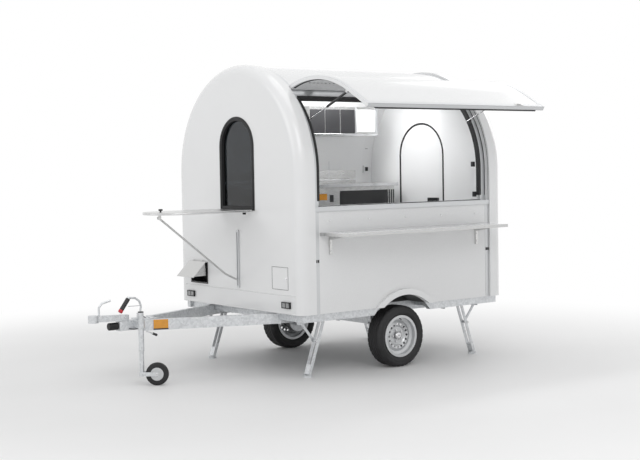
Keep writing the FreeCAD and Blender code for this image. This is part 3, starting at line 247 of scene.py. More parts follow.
for entry in record["subparts"]:
    mesh = nodes[entry["node"]].data
    mesh.materials.clear()
    mesh.materials.append(MATERIALS[entry["material_slot"]])


# ---------------------------------------------------------------- stage, light and camera
FLOOR_REACH = 60.0
FADE_START = 2.6              # where the floor starts to turn to the background's white
FADE_END = 6.5
SKY_LIGHT = 0.60
LIGHTS = (                    # name, place, size and power in watts
    ("key", (5.0, 7.5, 6.5), (5, 4), 150),
    ("fill", (9.0, -3.0, 4.5), (5, 4), 80),
    ("top", (0.0, 1.0, 8.0), (6, 5), 110),
    ("back", (-7.0, -2.0, 5.0), (5, 4), 80),
)
LIGHTS_AIM = (0.3, 0, 1.2)
CABIN_LIGHT = ("cabin", (-0.1, -0.1, 2.68), (1.6, 0.5), 26)
CABIN_AIM = (-0.1, -0.25, 1.0)
CAMERA_PLACE = (7.855, 9.782, 1.906)
CAMERA_YAW = -2.2313
CAMERA_PITCH = -0.0517
CAMERA_ROLL = -0.0168
CAMERA_LENS = 71.26
CAMERA_SENSOR = 36.0


def floor_finish():
    """A pale floor that fades to the background's white away from the middle."""
    made, tree, shader = new_material("studio_floor")
    stops = [(0.3, (0.86, 0.86, 0.86)), (0.7, (0.88, 0.88, 0.88))]
    tone = ramp(tree, noise(tree, coordinates(tree), 0.7, 2.0), stops)
    tree.links.new(tone, shader.inputs["Base Color"])
    shader.inputs["Roughness"].default_value = 0.6
    shader.inputs["Specular IOR Level"].default_value = 0.2
    place = add(tree, "ShaderNodeTexCoord")
    distance = add(tree, "ShaderNodeVectorMath", operation="LENGTH")
    tree.links.new(place.outputs["Object"], distance.inputs[0])
    fade = add(tree, "ShaderNodeMapRange")
    fade.inputs["From Min"].default_value = FADE_START
    fade.inputs["From Max"].default_value = FADE_END
    fade.interpolation_type = "SMOOTHSTEP"
    tree.links.new(distance.outputs["Value"], fade.inputs["Value"])
    glow = add(tree, "ShaderNodeEmission")
    mix = add(tree, "ShaderNodeMixShader")
    tree.links.new(fade.outputs["Result"], mix.inputs["Fac"])
    tree.links.new(shader.outputs["BSDF"], mix.inputs[1])
    tree.links.new(glow.outputs["Emission"], mix.inputs[2])
    tree.links.new(mix.outputs["Shader"], tree.nodes["Material Output"].inputs["Surface"])
    return made


def build_stage():
    floor_mesh = bpy.data.meshes.new("floor_sheet")
    rim = [(-FLOOR_REACH, -FLOOR_REACH, 0), (FLOOR_REACH, -FLOOR_REACH, 0),
           (FLOOR_REACH, FLOOR_REACH, 0), (-FLOOR_REACH, FLOOR_REACH, 0)]
    floor_mesh.from_pydata(rim, [], [(0, 1, 2, 3)])
    floor = bpy.data.objects.new("floor_sheet", floor_mesh)
    bpy.context.scene.collection.objects.link(floor)
    floor_mesh.materials.append(floor_finish())


def background(tree, strength):
    made = add(tree, "ShaderNodeBackground")
    made.inputs["Color"].default_value = (1, 1, 1, 1)
    made.inputs["Strength"].default_value = strength
    return made


def build_world():
    """Soft white light all round, and pure white where the backdrop itself is seen."""
    world = bpy.data.worlds.new("studio")
    bpy.context.scene.world = world
    world.use_nodes = True
    tree = world.node_tree
    tree.nodes.clear()
    path = add(tree, "ShaderNodeLightPath")
    seen = add(tree, "ShaderNodeMath", operation="MAXIMUM")
    seen_through = add(tree, "ShaderNodeMath", operation="MAXIMUM")
    lighting = background(tree, SKY_LIGHT)
    backdrop = background(tree, 1.0)
    mix = add(tree, "ShaderNodeMixShader")
    out = add(tree, "ShaderNodeOutputWorld")
    tree.links.new(path.outputs["Is Camera Ray"], seen.inputs[0])
    tree.links.new(path.outputs["Is Glossy Ray"], seen.inputs[1])
    tree.links.new(seen.outputs["Value"], seen_through.inputs[0])
    tree.links.new(path.outputs["Is Transmission Ray"], seen_through.inputs[1])
    tree.links.new(seen_through.outputs["Value"], mix.inputs["Fac"])
    tree.links.new(lighting.outputs["Background"], mix.inputs[1])
    tree.links.new(backdrop.outputs["Background"], mix.inputs[2])
    tree.links.new(mix.outputs["Shader"], out.inputs["Surface"])


def area_light(name, place, size, power, aim):
    lamp = bpy.data.lights.new(name, "AREA")
    lamp.shape = "RECTANGLE"
    lamp.size, lamp.size_y = size
    lamp.energy = power
    made = bpy.data.objects.new(name, lamp)
    made.location = at(*place)
    made.rotation_euler = (at(*aim) - at(*place)).to_track_quat("-Z", "Y").to_euler()
    bpy.context.scene.collection.objects.link(made)


def build_camera():
    """A long lens from the front serving corner, about as high as the window."""
    level_run = math.cos(CAMERA_PITCH)
    view = Vector((math.cos(CAMERA_YAW) * level_run, math.sin(CAMERA_YAW) * level_run,
                   math.sin(CAMERA_PITCH)))
    level = view.cross(Vector((0, 0, 1))).normalized()
    rise = level.cross(view)
    right = level * math.cos(CAMERA_ROLL) + rise * math.sin(CAMERA_ROLL)
    up = rise * math.cos(CAMERA_ROLL) - level * math.sin(CAMERA_ROLL)
    data = bpy.data.cameras.new("camera")
    data.sensor_width = CAMERA_SENSOR
    data.lens = CAMERA_LENS
    made = bpy.data.objects.new("camera", data)
    basis = Matrix((right, up, -view)).transposed().to_4x4()
    basis.translation = at(*CAMERA_PLACE)
    made.matrix_world = basis
    bpy.context.scene.collection.objects.link(made)
    bpy.context.scene.camera = made


build_stage()
build_world()
for light in LIGHTS:
    area_light(*light, LIGHTS_AIM)
area_light(*CABIN_LIGHT, CABIN_AIM)
build_camera()
bpy.context.scene.view_settings.view_transform = "Standard"


def link_piece(name, mesh, slot, body, smooth=False):
    """Links a mesh as a piece with its finish, its slot and the body it rides."""
    made = bpy.data.objects.new(name, mesh)
    bpy.context.scene.collection.objects.link(made)
    mesh.materials.append(MATERIALS[slot])
    if smooth:
        mesh.shade_smooth()
    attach(made, body)
    return made


def mesh_of(name, build):
    work = bmesh.new()
    build(work)
    bmesh.ops.recalc_face_normals(work, faces=work.faces)
    mesh = bpy.data.meshes.new(name)
    work.to_mesh(mesh)
    work.free()
    return mesh


def bevelled(piece, width, segments=2):
    modifier = piece.modifiers.new("edge", "BEVEL")
    modifier.width = width
    modifier.segments = segments
    modifier.limit_method = "ANGLE"
    return piece


def add_box(work, low, high, matrix=None):
    """A box between two corners, turned by the matrix if there is one."""
    low, high = Vector(low), Vector(high)
    size = high - low
    for point in bmesh.ops.create_cube(work, size=1.0)["verts"]:
        share = point.co + Vector((0.5, 0.5, 0.5))
        point.co = low + Vector((share.x * size.x, share.y * size.y, share.z * size.z))
        if matrix is not None:
            point.co = matrix @ point.co


def add_rod(work, start, end, radius, segments=20):
    """A round bar between two points."""
    run = end - start
    turn = Vector((0, 0, 1)).rotation_difference(run).to_matrix().to_4x4()
    turn.translation = (start + end) / 2
    bmesh.ops.create_cone(work, cap_ends=True, segments=segments, radius1=radius, radius2=radius,
                          depth=run.length, matrix=turn)


def bridge(work, first, second):
    """Faces between two rings that follow each other along a piece."""
    count = len(first)
    for k in range(count):
        after = (k + 1) % count
        work.faces.new((first[k], first[after], second[after], second[k]))


def cap_rings(work, rings):
    """Faces over the first and the last ring."""
    work.faces.new(rings[0][::-1])
    work.faces.new(rings[-1])


def box_piece(name, slot, body, *boxes, edge=0.0015, matrix=None):
    """Boxes given as pairs of corners from the body's middle, as one bevelled piece."""
    def build(work):
        for low, high in boxes:
            add_box(work, at(*low), at(*high), matrix)
    return bevelled(link_piece(name, mesh_of(name, build), slot, body), edge)


def turned_box(name, slot, low, high, axes, edge):
    """A box on the trailer, given in its own axes."""
    def build(work):
        add_box(work, low, high, axes)
    return bevelled(link_piece(name, mesh_of(name, build), slot, "trailer"), edge)


def bars(name, slot, body, rods, edge, edge_steps=2):
    """Round bars given as (start, end, radius, sides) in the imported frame, as one piece."""
    def build(work):
        for start, end, radius, sides in rods:
            add_rod(work, start, end, radius, sides)
    return bevelled(link_piece(name, mesh_of(name, build), slot, body), edge, edge_steps)


def rod_piece(name, slot, body, *rods, edge=0.0008, matrix=None, segments=20):
    """Round bars given as (start, end, radius) from the body's middle, as one piece."""
    def build(work):
        for start, end, radius in rods:
            start, end = at(*start), at(*end)
            if matrix is not None:
                start, end = matrix @ start, matrix @ end
            add_rod(work, start, end, radius, segments)
    return bevelled(link_piece(name, mesh_of(name, build), slot, body), edge)


def barrel(radius, angle, side=1):
    """A point on the barrel of a radius, at an angle in degrees off the top, as (y, z)."""
    turn = math.radians(angle)
    return side * radius * math.sin(turn), SPRING + radius * math.cos(turn)


def band_piece(name, slot, body, along, radii, angles, foot=None, side=1, matrix=None, edge=0.001):
    """A strip that follows the barrel wall, and its straight side down to foot."""
    inner, outer = radii
    first_angle, last_angle = angles
    rows = []
    steps = max(2, round(abs(last_angle - first_angle) / 3))
    for index in range(steps + 1):
        angle = first_angle + (last_angle - first_angle) * index / steps
        rows.append((barrel(inner, angle, side), barrel(outer, angle, side)))
    if foot is not None:
        rows.append(((side * inner, foot), (side * outer, foot)))

    def build(work):
        rings = []
        for low, high in rows:
            places = [at(along[0], *low), at(along[1], *low), at(along[1], *high), at(along[0], *high)]
            if matrix is not None:
                places = [matrix @ place for place in places]
            rings.append([work.verts.new(place) for place in places])
        for first, second in zip(rings, rings[1:]):
            bridge(work, first, second)
        cap_rings(work, rings)
    return bevelled(link_piece(name, mesh_of(name, build), slot, body), edge)


def tube_along(name, slot, body, points, radius, closed=False, sides=10):
    """A round bead along points given from the body's middle."""
    places = [at(*point) for point in points]
    count = len(places)

    def build(work):
        rings = []
        across = None
        for index, place in enumerate(places):
            before = places[index - 1] if closed or index else place
            after = places[(index + 1) % count] if closed or index < count - 1 else place
            along = (after - before).normalized()
            across = along.orthogonal() if across is None else across - along * across.dot(along)
            across.normalize()
            other = along.cross(across)
            ring = []
            for k in range(sides):
                turn = 2 * math.pi * k / sides
                spoke = math.cos(turn) * across + math.sin(turn) * other
                ring.append(work.verts.new(place + radius * spoke))
            rings.append(ring)
        for first, second in zip(rings, rings[1:]):
            bridge(work, first, second)
        if closed:
            bridge(work, rings[-1], rings[0])
        else:
            cap_rings(work, rings)
    return link_piece(name, mesh_of(name, build), slot, body, smooth=True)


def arch_points(x, half, bottom, spring, middle, steps=20):
    """The outline of an arched opening in a wall at x, from foot to foot."""
    points = [(x, middle + half, bottom), (x, middle + half, (bottom + spring) / 2)]
    for index in range(steps + 1):
        turn = math.pi * index / steps
        points.append((x, middle + half * math.cos(turn), spring + half * math.sin(turn)))
    points += [(x, middle - half, (bottom + spring) / 2), (x, middle - half, bottom)]
    return points


def ring_piece(name, slot, body, centre, profile, segments=64, sign=1):
    """A ring about a Y axis: profile points are (y outwards, radius)."""
    def build(work):
        rings = []
        for index in range(segments):
            turn = 2 * math.pi * index / segments
            ring = []
            for y, radius in profile:
                spoke = Vector((radius * math.cos(turn), sign * y, radius * math.sin(turn)))
                ring.append(work.verts.new(centre + spoke))
            rings.append(ring)
        for index, ring in enumerate(rings):
            bridge(work, ring, rings[(index + 1) % segments])
    return link_piece(name, mesh_of(name, build), slot, body, smooth=True)


# ---------------------------------------------------------------- places, from the middle of the body
SHELL = near_high.y - MID_Y
CAP_X = near_high.x - MID_X
END_X = cap_high.x - MID_X
SILL_TOP = corners("serving_sill")[1].z
TRIM_SET = 0.001              # how far a trim strip is let into the skin
TRIM_PROUD = 0.003            # how far it stands off the skin
ENDS = (("front", 1), ("rear", -1))

# the hatch, whose pieces are laid out closed and then turned to where it rests
HATCH_START = 38.4            # degrees off the top
HATCH_OPEN = math.radians(60.5)
HATCH_HINGE_PROUD = 0.012
HINGE = at(0, *barrel(SHELL + HATCH_HINGE_PROUD, HATCH_START))
HATCH_TURN = Matrix.Translation(HINGE) @ Matrix.Rotation(HATCH_OPEN, 4, "X") @ Matrix.Translation(-HINGE)
HATCH_FOOT = 1.5432
HATCH_EDGE_TOP = 1.585
HATCH_HALF = CAP_X - 0.0102
HATCH_LINING = SHELL - 0.0295

# the frame of the serving opening
JAMB_X = 1.0
JAMB_IN = 0.914
JAMB_OUT = 0.944
HEADER_ANGLE = 45
SEAL_FOOT = 1.582             # above the hatch's closed edge profile

WINDOW_Y = 0.04
DOOR_Y = -0.13
DOOR_SPRING = 1.985
FLAP_EDGE_Z = 1.494


# ---------------------------------------------------------------- body trim
def beside(sign, near, far):
    """Two distances along X on the front (1) or rear (-1) side, the lower first."""
    return sorted((sign * near, sign * far))


def side_trim(end, sign):
    """The strips and the seam where an end cap meets the side and roof panels."""
    along = beside(sign, CAP_X - 0.05, CAP_X - 0.001)
    skin = (SHELL - TRIM_SET, SHELL + TRIM_PROUD)
    box_piece(f"side_strip_{end}", "anodised", "trailer",
              ((along[0], skin[0], UNDERSIDE + 0.005), (along[1], skin[1], 1.488)))
    band_piece(f"roof_strip_{end}", "anodised", "trailer", along, skin, (-90, 37.6))
    band_piece(f"far_strip_{end}", "anodised", "trailer", along, skin, (88, 90),
               foot=UNDERSIDE + 0.16, side=-1)
    middle = sign * (CAP_X - 0.025)
    half = 0.006
    catches = []
    for shift in (-2 * half, 2 * half):
        catches.append(((middle + shift - half, SHELL, 1.040),
                        (middle + shift + half, SHELL + 0.010, 1.066)))
    box_piece(f"strip_catches_{end}", "black_plastic", "trailer", *catches)
    seam_x = sign * (CAP_X + 0.0005)
    foot = UNDERSIDE + 0.01
    over = [(seam_x, *barrel(SHELL - TRIM_SET, angle)) for angle in range(90, -91, -6)]
    seam = [(seam_x, SHELL - TRIM_SET, foot)] + over + [(seam_x, -SHELL + TRIM_SET, foot)]
    tube_along(f"cap_joint_{end}", "rubber", "trailer", seam, 0.003, sides=6)


def crease(name, x, first_y, z, radius, sides):
    """A moulded line straight across an end cap."""
    points = [(x, first_y - 0.05 * k, z) for k in range(37)]
    tube_along(name, "white_gelcoat", "trailer", points, radius, sides=sides)


def front_panel():
    """The flush panel low on the front cap, with its seam and lock."""
    low_y, high_y, low_z, high_z = 0.570, 0.810, 0.80, 1.0
    inset = 0.005
    lock_y, lock_z = 0.785, 0.90
    box_piece("front_hatch_panel", "white_gelcoat", "trailer",
              ((END_X - 0.002, low_y + inset, low_z + inset),
               (END_X + 0.002, high_y - inset, high_z - inset)), edge=0.001)
    seam = [(END_X, low_y, low_z), (END_X, high_y, low_z), (END_X, high_y, high_z), (END_X, low_y, high_z)]
    tube_along("front_hatch_seam", "rubber", "trailer", seam, 0.0022, closed=True, sides=6)
    barrels = [((END_X, lock_y, lock_z), (END_X + proud, lock_y, lock_z), radius)
               for proud, radius in ((0.005, 0.012), (0.007, 0.006))]
    rod_piece("front_hatch_lock", "bright_steel", "trailer", *barrels)


def body_trim():
    for end, sign in ENDS:
        side_trim(end, sign)
    crease("front_swage", END_X + 0.0005, HALF_WIDTH - 0.09, 0.753, 0.0045, 8)
    front_panel()
    crease("cap_foot_bead", END_X - 0.001, HALF_WIDTH - 0.1, UNDERSIDE + 0.004, 0.004, 6)


# ---------------------------------------------------------------- serving opening and hatch
def opening_seals():
    for end, sign in ENDS:
        along = beside(sign, JAMB_X - 0.012, JAMB_X + 0.016)
        band_piece(f"jamb_seal_{end}", "rubber", "trailer", along, (JAMB_IN - 0.008, JAMB_OUT + 0.004),
                   (HEADER_ANGLE, 90), foot=SEAL_FOOT, edge=0.003)
        seal_x = sign * (CAP_X - 0.016)
        radius = JAMB_OUT + 0.002
        points = [(seal_x, *barrel(radius, angle)) for angle in range(42, 91, 4)]
        points.append((seal_x, radius, SEAL_FOOT))
        tube_along(f"rebate_seal_{end}", "rubber", "trailer", points, 0.0025, sides=8)
    band_piece("header_seal", "rubber", "trailer", (-JAMB_X, JAMB_X),
               (JAMB_IN - 0.006, JAMB_OUT + 0.008), (43.8, 45.4), edge=0.003)
    box_piece("sill_seal", "rubber", "trailer",
              ((-JAMB_X, JAMB_OUT - 0.006, SILL_TOP - 0.002),
               (JAMB_X, JAMB_OUT + 0.010, SILL_TOP + 0.008)), edge=0.003)
    reach = CAP_X - 0.002
    box_piece("sill_rib", "anodised", "trailer",
              ((-reach, SHELL + 0.002, SILL_TOP - 0.006), (reach, SHELL + 0.0125, SILL_TOP + 0.0015)),
              ((-reach, SHELL + 0.011, SILL_TOP - 0.041), (reach, SHELL + 0.0132, SILL_TOP - 0.034)))
    keepers = []
    for y, z in ((0.835, 2.297), (0.877, 1.884), (0.894, 1.59)):
        keepers.append(((-JAMB_X - 0.004, y - 0.028, z - 0.025), (-JAMB_X + 0.026, y + 0.004, z + 0.025)))
    box_piece("hatch_keepers", "black_plastic", "trailer", *keepers, edge=0.003)
    screws = []
    for k in range(5):
        x = -0.9 + 0.45 * k
        screws.append(((x, SHELL + 0.001, 1.40), (x + 0.015, SHELL + 0.005, 1.415)))
    box_piece("sill_screws", "bright_steel", "trailer", *screws, edge=0.0018)


def hatch_edge():
    """The profile and seal along the hatch's lower edge."""
    leg_in = SHELL - 0.0352
    skin = (SHELL - 0.0005, SHELL + TRIM_PROUD)
    box_piece("hatch_edge_profile", "anodised", "hatch",
              ((-HATCH_HALF, leg_in, HATCH_FOOT), (HATCH_HALF, skin[1], HATCH_FOOT + 0.0022)),
              ((-HATCH_HALF, skin[0], HATCH_FOOT), (HATCH_HALF, skin[1], HATCH_EDGE_TOP)),
              ((-HATCH_HALF, leg_in, HATCH_FOOT), (HATCH_HALF, SHELL - 0.0298, HATCH_EDGE_TOP - 0.01)),
              matrix=HATCH_TURN)
    seal_half = 0.975
    box_piece("hatch_edge_seal", "rubber", "hatch",
              ((-seal_half, SHELL - 0.050, HATCH_FOOT + 0.002),
               (seal_half, SHELL - 0.0355, HATCH_FOOT + 0.020)), edge=0.004, matrix=HATCH_TURN)


def hatch_ends():
    """The outer strip and the inner seal at each end of the hatch."""
    for end, sign in ENDS:
        band_piece(f"hatch_end_strip_{end}", "anodised", "hatch", beside(sign, CAP_X - 0.045, HATCH_HALF),
                   (SHELL - 0.0005, SHELL + TRIM_PROUD), (39.4, 90), foot=HATCH_EDGE_TOP,
                   matrix=HATCH_TURN)
        band_piece(f"hatch_end_seal_{end}", "rubber", "hatch", beside(sign, CAP_X - 0.050, CAP_X - 0.030),
                   (SHELL - 0.0355, HATCH_LINING), (41, 90), foot=HATCH_EDGE_TOP, matrix=HATCH_TURN,
                   edge=0.003)


def hatch_fittings():
    """The latch plate outside, and the vent dots and rib on the lining."""
    box_piece("hatch_latch_plate", "stainless", "hatch",
              ((-0.80, SHELL + 0.002, HATCH_FOOT + 0.016), (-0.70, SHELL + 0.007, HATCH_FOOT + 0.046)),
              ((-0.775, SHELL + 0.006, HATCH_FOOT + 0.024), (-0.725, SHELL + 0.014, HATCH_FOOT + 0.036)),
              matrix=HATCH_TURN)
    outer = barrel(SHELL - 0.0305, 50)
    inner = barrel(SHELL - 0.0335, 50)
    dots = []
    for k in range(16):
        x = 0.30 + 0.045 * k
        dots.append(((x, *outer), (x, *inner), 0.006))
    rod_piece("hatch_vent_dots", "black_plastic", "hatch", *dots, matrix=HATCH_TURN, segments=12)
    band_piece("hatch_lining_rib", "anodised", "hatch", (-0.95, 0.95), (SHELL - 0.034, HATCH_LINING),
               (66, 67.4), matrix=HATCH_TURN)


def hatch_trim():
    hatch_edge()
    hatch_ends()
    hatch_fittings()


# ---------------------------------------------------------------- window, flap, rail, inlet
def flap_edge():
    """The bright bead round the flap's two sides and its rounded tip."""
    low, high = corners("front_flap")
    half = (high.y - low.y) / 2
    tip_x = high.x - MID_X - half
    radius = half - 0.001
    hinge_x = 1.30
    nose = []
    for k in range(-12, 13):
        turn = math.radians(7.5 * k)
        nose.append((tip_x + radius * math.cos(turn), WINDOW_Y + radius * math.sin(turn), FLAP_EDGE_Z))
    first = (hinge_x, WINDOW_Y - half + 0.001, FLAP_EDGE_Z)
    last = (hinge_x, WINDOW_Y + half - 0.001, FLAP_EDGE_Z)
    tube_along("flap_edge_bead", "bright_steel", "flap", [first] + nose + [last], 0.0045, sides=8)


def marker_bezels():
    """Black frames round the two marker lamps, with a bar across each."""
    half = 0.061
    low_z, high_z = 0.638, 0.694
    bezels = []
    for y in (0.785, -0.785):
        bars_of = ((-half, half, high_z - 0.008, high_z), (-half, half, low_z, low_z + 0.008),
                   (-half, -0.050, low_z, high_z), (0.050, half, low_z, high_z),
                   (-0.004, 0.004, low_z, high_z))
        for low_y, high_y, bottom, top in bars_of:
            bezels.append(((END_X - 0.001, y + low_y, bottom), (END_X + 0.018, y + high_y, top)))
    box_piece("marker_bezels", "black_plastic", "trailer", *bezels, edge=0.001)


def front_fittings():
    tube_along("window_inner_bead", "rubber", "trailer",
               arch_points(END_X + 0.004, 0.262, 1.508, 2.08, WINDOW_Y), 0.006, sides=8)
    knob_x = 2.075
    rod_piece("flap_knob", "black_plastic", "flap",
              ((knob_x, WINDOW_Y, 1.505), (knob_x, WINDOW_Y, 1.520), 0.008),
              ((knob_x, WINDOW_Y, 1.518), (knob_x, WINDOW_Y, 1.534), 0.019), edge=0.004)
    buffers = []
    for shift in (-0.21, 0.21):
        buffers.append(((1.32, WINDOW_Y + shift, 1.484), (1.32, WINDOW_Y + shift, 1.462), 0.016))
    rod_piece("flap_buffers", "rubber", "flap", *buffers, edge=0.003)
    flap_edge()
    screws = [((END_X + 0.003, WINDOW_Y, z), (END_X + 0.0065, WINDOW_Y, z), 0.005)
              for z in (0.80, 1.0, 1.2, 1.29)]
    rod_piece("rail_screws", "bright_steel", "trailer", *screws)
    marker_bezels()


def inlet_trim():
    """The cheeks of the inlet's lid, and the black surround of its recess, whose lower bar is painted shadow
    for the gap under the recess.
    """
    hinge_x, hinge_y, hinge_z = END_X + 0.018, -0.64, 0.995
    reach = 0.205
    lean = math.radians(45)
    tip_x = hinge_x + reach * math.sin(lean)
    tip_z = hinge_z - reach * math.cos(lean)
    spots = [(hinge_x + 0.004, hinge_z - 0.018), (tip_x - 0.006, tip_z + 0.002),
             (hinge_x - 0.010, tip_z + 0.004)]
    half_width = 0.13
    half_sheet = 0.0012

    def build(work):
        for y in (-half_width, half_width):
            sides = []
            for edge_y in (y - half_sheet, y + half_sheet):
                sides.append([work.verts.new(at(x, hinge_y + edge_y, z)) for x, z in spots])
            work.faces.new(sides[0])
            work.faces.new(sides[1][::-1])
            for k in range(3):
                after = (k + 1) % 3
                work.faces.new((sides[0][k], sides[0][after], sides[1][after], sides[1][k]))
    link_piece("inlet_cheeks", mesh_of("inlet_cheeks", build), "stainless", "inlet_lid")
    # black bars round the recess; the lower bar is a painted shadow of the gap under the recess's bottom edge
    recess_bars_and_shadow = []
    for low_y, high_y, low_z, high_z in ((-0.79, -0.49, 0.775, 0.783), (-0.79, -0.782, 0.775, 0.985),
                                         (-0.498, -0.49, 0.775, 0.985)):
        recess_bars_and_shadow.append(((END_X - 0.001, low_y, low_z), (END_X + 0.004, high_y, high_z)))
    box_piece("inlet_surround_painted_shadow", "black_plastic", "trailer", *recess_bars_and_shadow, edge=0.001)


# ---------------------------------------------------------------- inside the cabin
def oven():
    """The counter's rear unit: a dark glass door in a steel front, with its handle and display."""
    face = -0.39
    handle_y = face + 0.035
    handle_z = 1.46
    box_piece("oven_front", "stainless", "trailer",
              ((-0.31, face - 0.02, 1.10), (0.10, face + 0.004, 1.665)),
              ((-1.058, face - 0.02, 1.636), (-0.31, face + 0.004, 1.665)),
              ((-1.058, face - 0.02, 1.10), (-0.97, face + 0.003, 1.636)))
    box_piece("oven_glass", "black_paint", "trailer",
              ((-0.962, face - 0.01, 1.18), (-0.318, face + 0.006, 1.630)), edge=0.004)
    rod_piece("oven_handle", "bright_steel", "trailer",
              ((-0.93, handle_y, handle_z), (-0.35, handle_y, handle_z), 0.009),
              ((-0.90, face, handle_z), (-0.90, handle_y, handle_z), 0.006),
              ((-0.38, face, handle_z), (-0.38, handle_y, handle_z), 0.006))
    box_piece("oven_note", "amber_lens", "trailer",
              ((-0.144, face + 0.003, 1.542), (-0.036, face + 0.006, 1.606)), edge=0.001)
    box_piece("oven_display", "black_plastic", "trailer",
              ((-0.228, face + 0.003, 1.519), (-0.178, face + 0.007, 1.592)), edge=0.002)
    strips = []
    for k in range(3):
        shift = 0.028 * k
        strips.append(((-1.05 + shift, face + 0.002, 1.20), (-1.036 + shift, face + 0.007, 1.63)))
    box_piece("oven_vent_strips", "black_plastic", "trailer", *strips, edge=0.002)


def kitchen_front():
    oven()
    row_end = 0.92
    box_piece("counter_nosing", "bright_steel", "trailer",
              ((-1.08, -0.352, 1.672), (row_end, -0.346, 1.702)), edge=0.002)
    box_piece("splash_rail", "bright_steel", "trailer",
              ((-0.985, -0.947, 1.73), (row_end, -0.938, 1.742)), edge=0.002)
    seams = []
    for k in range(4):
        shift = 0.4 * k
        seams.append(((-0.62 + shift, -0.9462, 1.745), (-0.612 + shift, -0.9445, 2.19)))
    box_piece("splash_seams", "anodised", "trailer", *seams, edge=0.0006)
    levels = (2.089, 1.847)
    cases = [((-1.16, -0.951, z - 0.04), (-1.09, -0.925, z + 0.04)) for z in levels]
    box_piece("socket_boxes", "white_panel", "trailer", *cases, edge=0.004)
    faces = [((-1.145, -0.926, z - 0.022), (-1.105, -0.921, z + 0.022)) for z in levels]
    box_piece("socket_faces", "black_plastic", "trailer", *faces, edge=0.002)


def hood_details():
    face = -0.47
    lip_z, lip_top = 2.196, 2.222
    filters = []
    for k in range(3):
        shift = 0.2 * k
        filters.append(((-0.595 + shift, face - 0.004, 2.225), (-0.405 + shift, face + 0.003, 2.47)))
    box_piece("hood_filters", "black_plastic", "trailer", *filters, edge=0.002)
    box_piece("hood_lip", "bright_steel", "trailer",
              ((-0.902, face - 0.004, lip_z), (0.0, face + 0.008, lip_top)), edge=0.002)
    box_piece("hood_side_panel", "white_panel", "trailer",
              ((-0.872, face - 0.002, 2.24), (-0.620, face + 0.004, 2.47)), edge=0.002)
    posts = [((low_x, face - 0.002, lip_top), (high_x, face + 0.006, 2.498))
             for low_x, high_x in ((-0.902, -0.874), (-0.618, -0.600))]
    box_piece("hood_side_frame", "anodised", "trailer", *posts)


# ---------------------------------------------------------------- rear wall
def door_details(back):
    tube_along("door_inner_seal", "rubber", "trailer",
               arch_points(back + 0.034, 0.332, 0.64, DOOR_SPRING, DOOR_Y), 0.010, sides=8)
    tube_along("door_outer_seal", "rubber", "trailer",
               arch_points(back - 0.001, 0.327, 0.636, DOOR_SPRING, DOOR_Y), 0.004, sides=8)
    box_piece("door_lock_box", "black_plastic", "door",
              ((back + 0.034, -0.02, 1.485), (back + 0.058, 0.135, 1.540)), edge=0.004)
    box_piece("door_handle_plate", "black_plastic", "door",
              ((back - 0.007, 0.095, 1.12), (back + 0.001, 0.145, 1.30)), edge=0.003)
    handle_z = 1.245
    rod_piece("door_handle", "bright_steel", "door",
              ((back - 0.005, 0.12, handle_z), (back - 0.026, 0.12, handle_z), 0.009),
              ((back - 0.022, 0.125, handle_z), (back - 0.022, 0.02, handle_z), 0.008), edge=0.002)


def lamp_windows(name, slot, back, starts):
    """A coloured window on each rear lamp, from its lower Y."""
    windows = [((back - 0.0306, low_y, 0.645), (back - 0.027, low_y + 0.06, 0.735)) for low_y in starts]
    box_piece(name, slot, "trailer", *windows, edge=0.002)


def lamp_details(back):
    ribs = []
    for low_y in (0.66, -0.88):
        for k in range(3):
            middle = low_y + 0.068 * (k + 1)
            ribs.append(((back - 0.0312, middle - 0.002, 0.644), (back - 0.028, middle + 0.002, 0.736)))
    box_piece("lamp_ribs", "black_plastic", "trailer", *ribs, edge=0.0005)
    lamp_windows("lamp_reversing_windows", "clear_lens", back, (0.664, -0.742))
    lamp_windows("lamp_indicator_windows", "amber_lens", back, (0.816, -0.876))


def rear_details():
    back = -END_X
    door_details(back)
    lamp_details(back)
    plate_x = back - 0.006
    low_y, high_y, low_z, high_z = 0.232, 0.748, 0.762, 0.868
    border = [(plate_x, low_y, low_z), (plate_x, high_y, low_z), (plate_x, high_y, high_z),
              (plate_x, low_y, high_z)]
    tube_along("plate_frame", "black_plastic", "trailer", border, 0.003, closed=True, sides=6)
    crease("rear_swage", back - 0.0005, 0.91, 0.605, 0.004, 8)


# ---------------------------------------------------------------- shelf
def shelf_details():
    low, high = corners("outside_shelf")
    top = high.z
    half = (high.x - low.x) / 2 - 0.003
    reach = high.y - MID_Y
    box_piece("shelf_top_sheet", "white_panel", "trailer",
              ((-half, SHELL + 0.004, top - 0.001), (half, reach - 0.006, top + 0.0012)), edge=0.0005)
    box_piece("shelf_nosing", "anodised", "trailer",
              ((-half, reach - 0.004, top - 0.026), (half, reach - 0.0002, top - 0.002)),
              ((-half, reach - 0.003, top - 0.016), (half, reach + 0.001, top - 0.012)), edge=0.001)
    bolts = [((x, SHELL + 0.012, z), (x, SHELL + 0.020, z), 0.007)
             for x in (-0.905, 0.905) for z in (1.14, 1.21)]
    rod_piece("shelf_bolts", "bright_steel", "trailer", *bolts, segments=6)


# ---------------------------------------------------------------- wheels
# the tyre's outer flank from bead to shoulder and its inside, as (y outwards, radius)
TYRE_FLANK = [(-0.0655, 0.1785), (-0.0725, 0.199), (-0.0865, 0.214), (-0.0925, 0.240), (-0.0905, 0.243),
              (-0.0905, 0.247), (-0.0925, 0.250), (-0.0835, 0.271), (-0.074, 0.281), (-0.066, 0.287)]
TYRE_INSIDE = [(0.054, 0.1785), (0.060, 0.2), (0.078, 0.24), (0.060, 0.268)]
GROOVES = (-0.042, -0.014, 0.014, 0.042)
GROOVE_DEPTH = 0.007
HUB_CAP = [(0.030, 0.0005), (0.030, 0.036), (0.044, 0.0355), (0.050, 0.030), (0.0535, 0.018),
           (0.0545, 0.0005)]
RIM_BEAD = [(0.0785, 0.1945), (0.0785, 0.1965), (0.0800, 0.1965), (0.0805, 0.1955), (0.0800, 0.1945)]
BOLT_CIRCLE = 0.056
BOLTS = 5


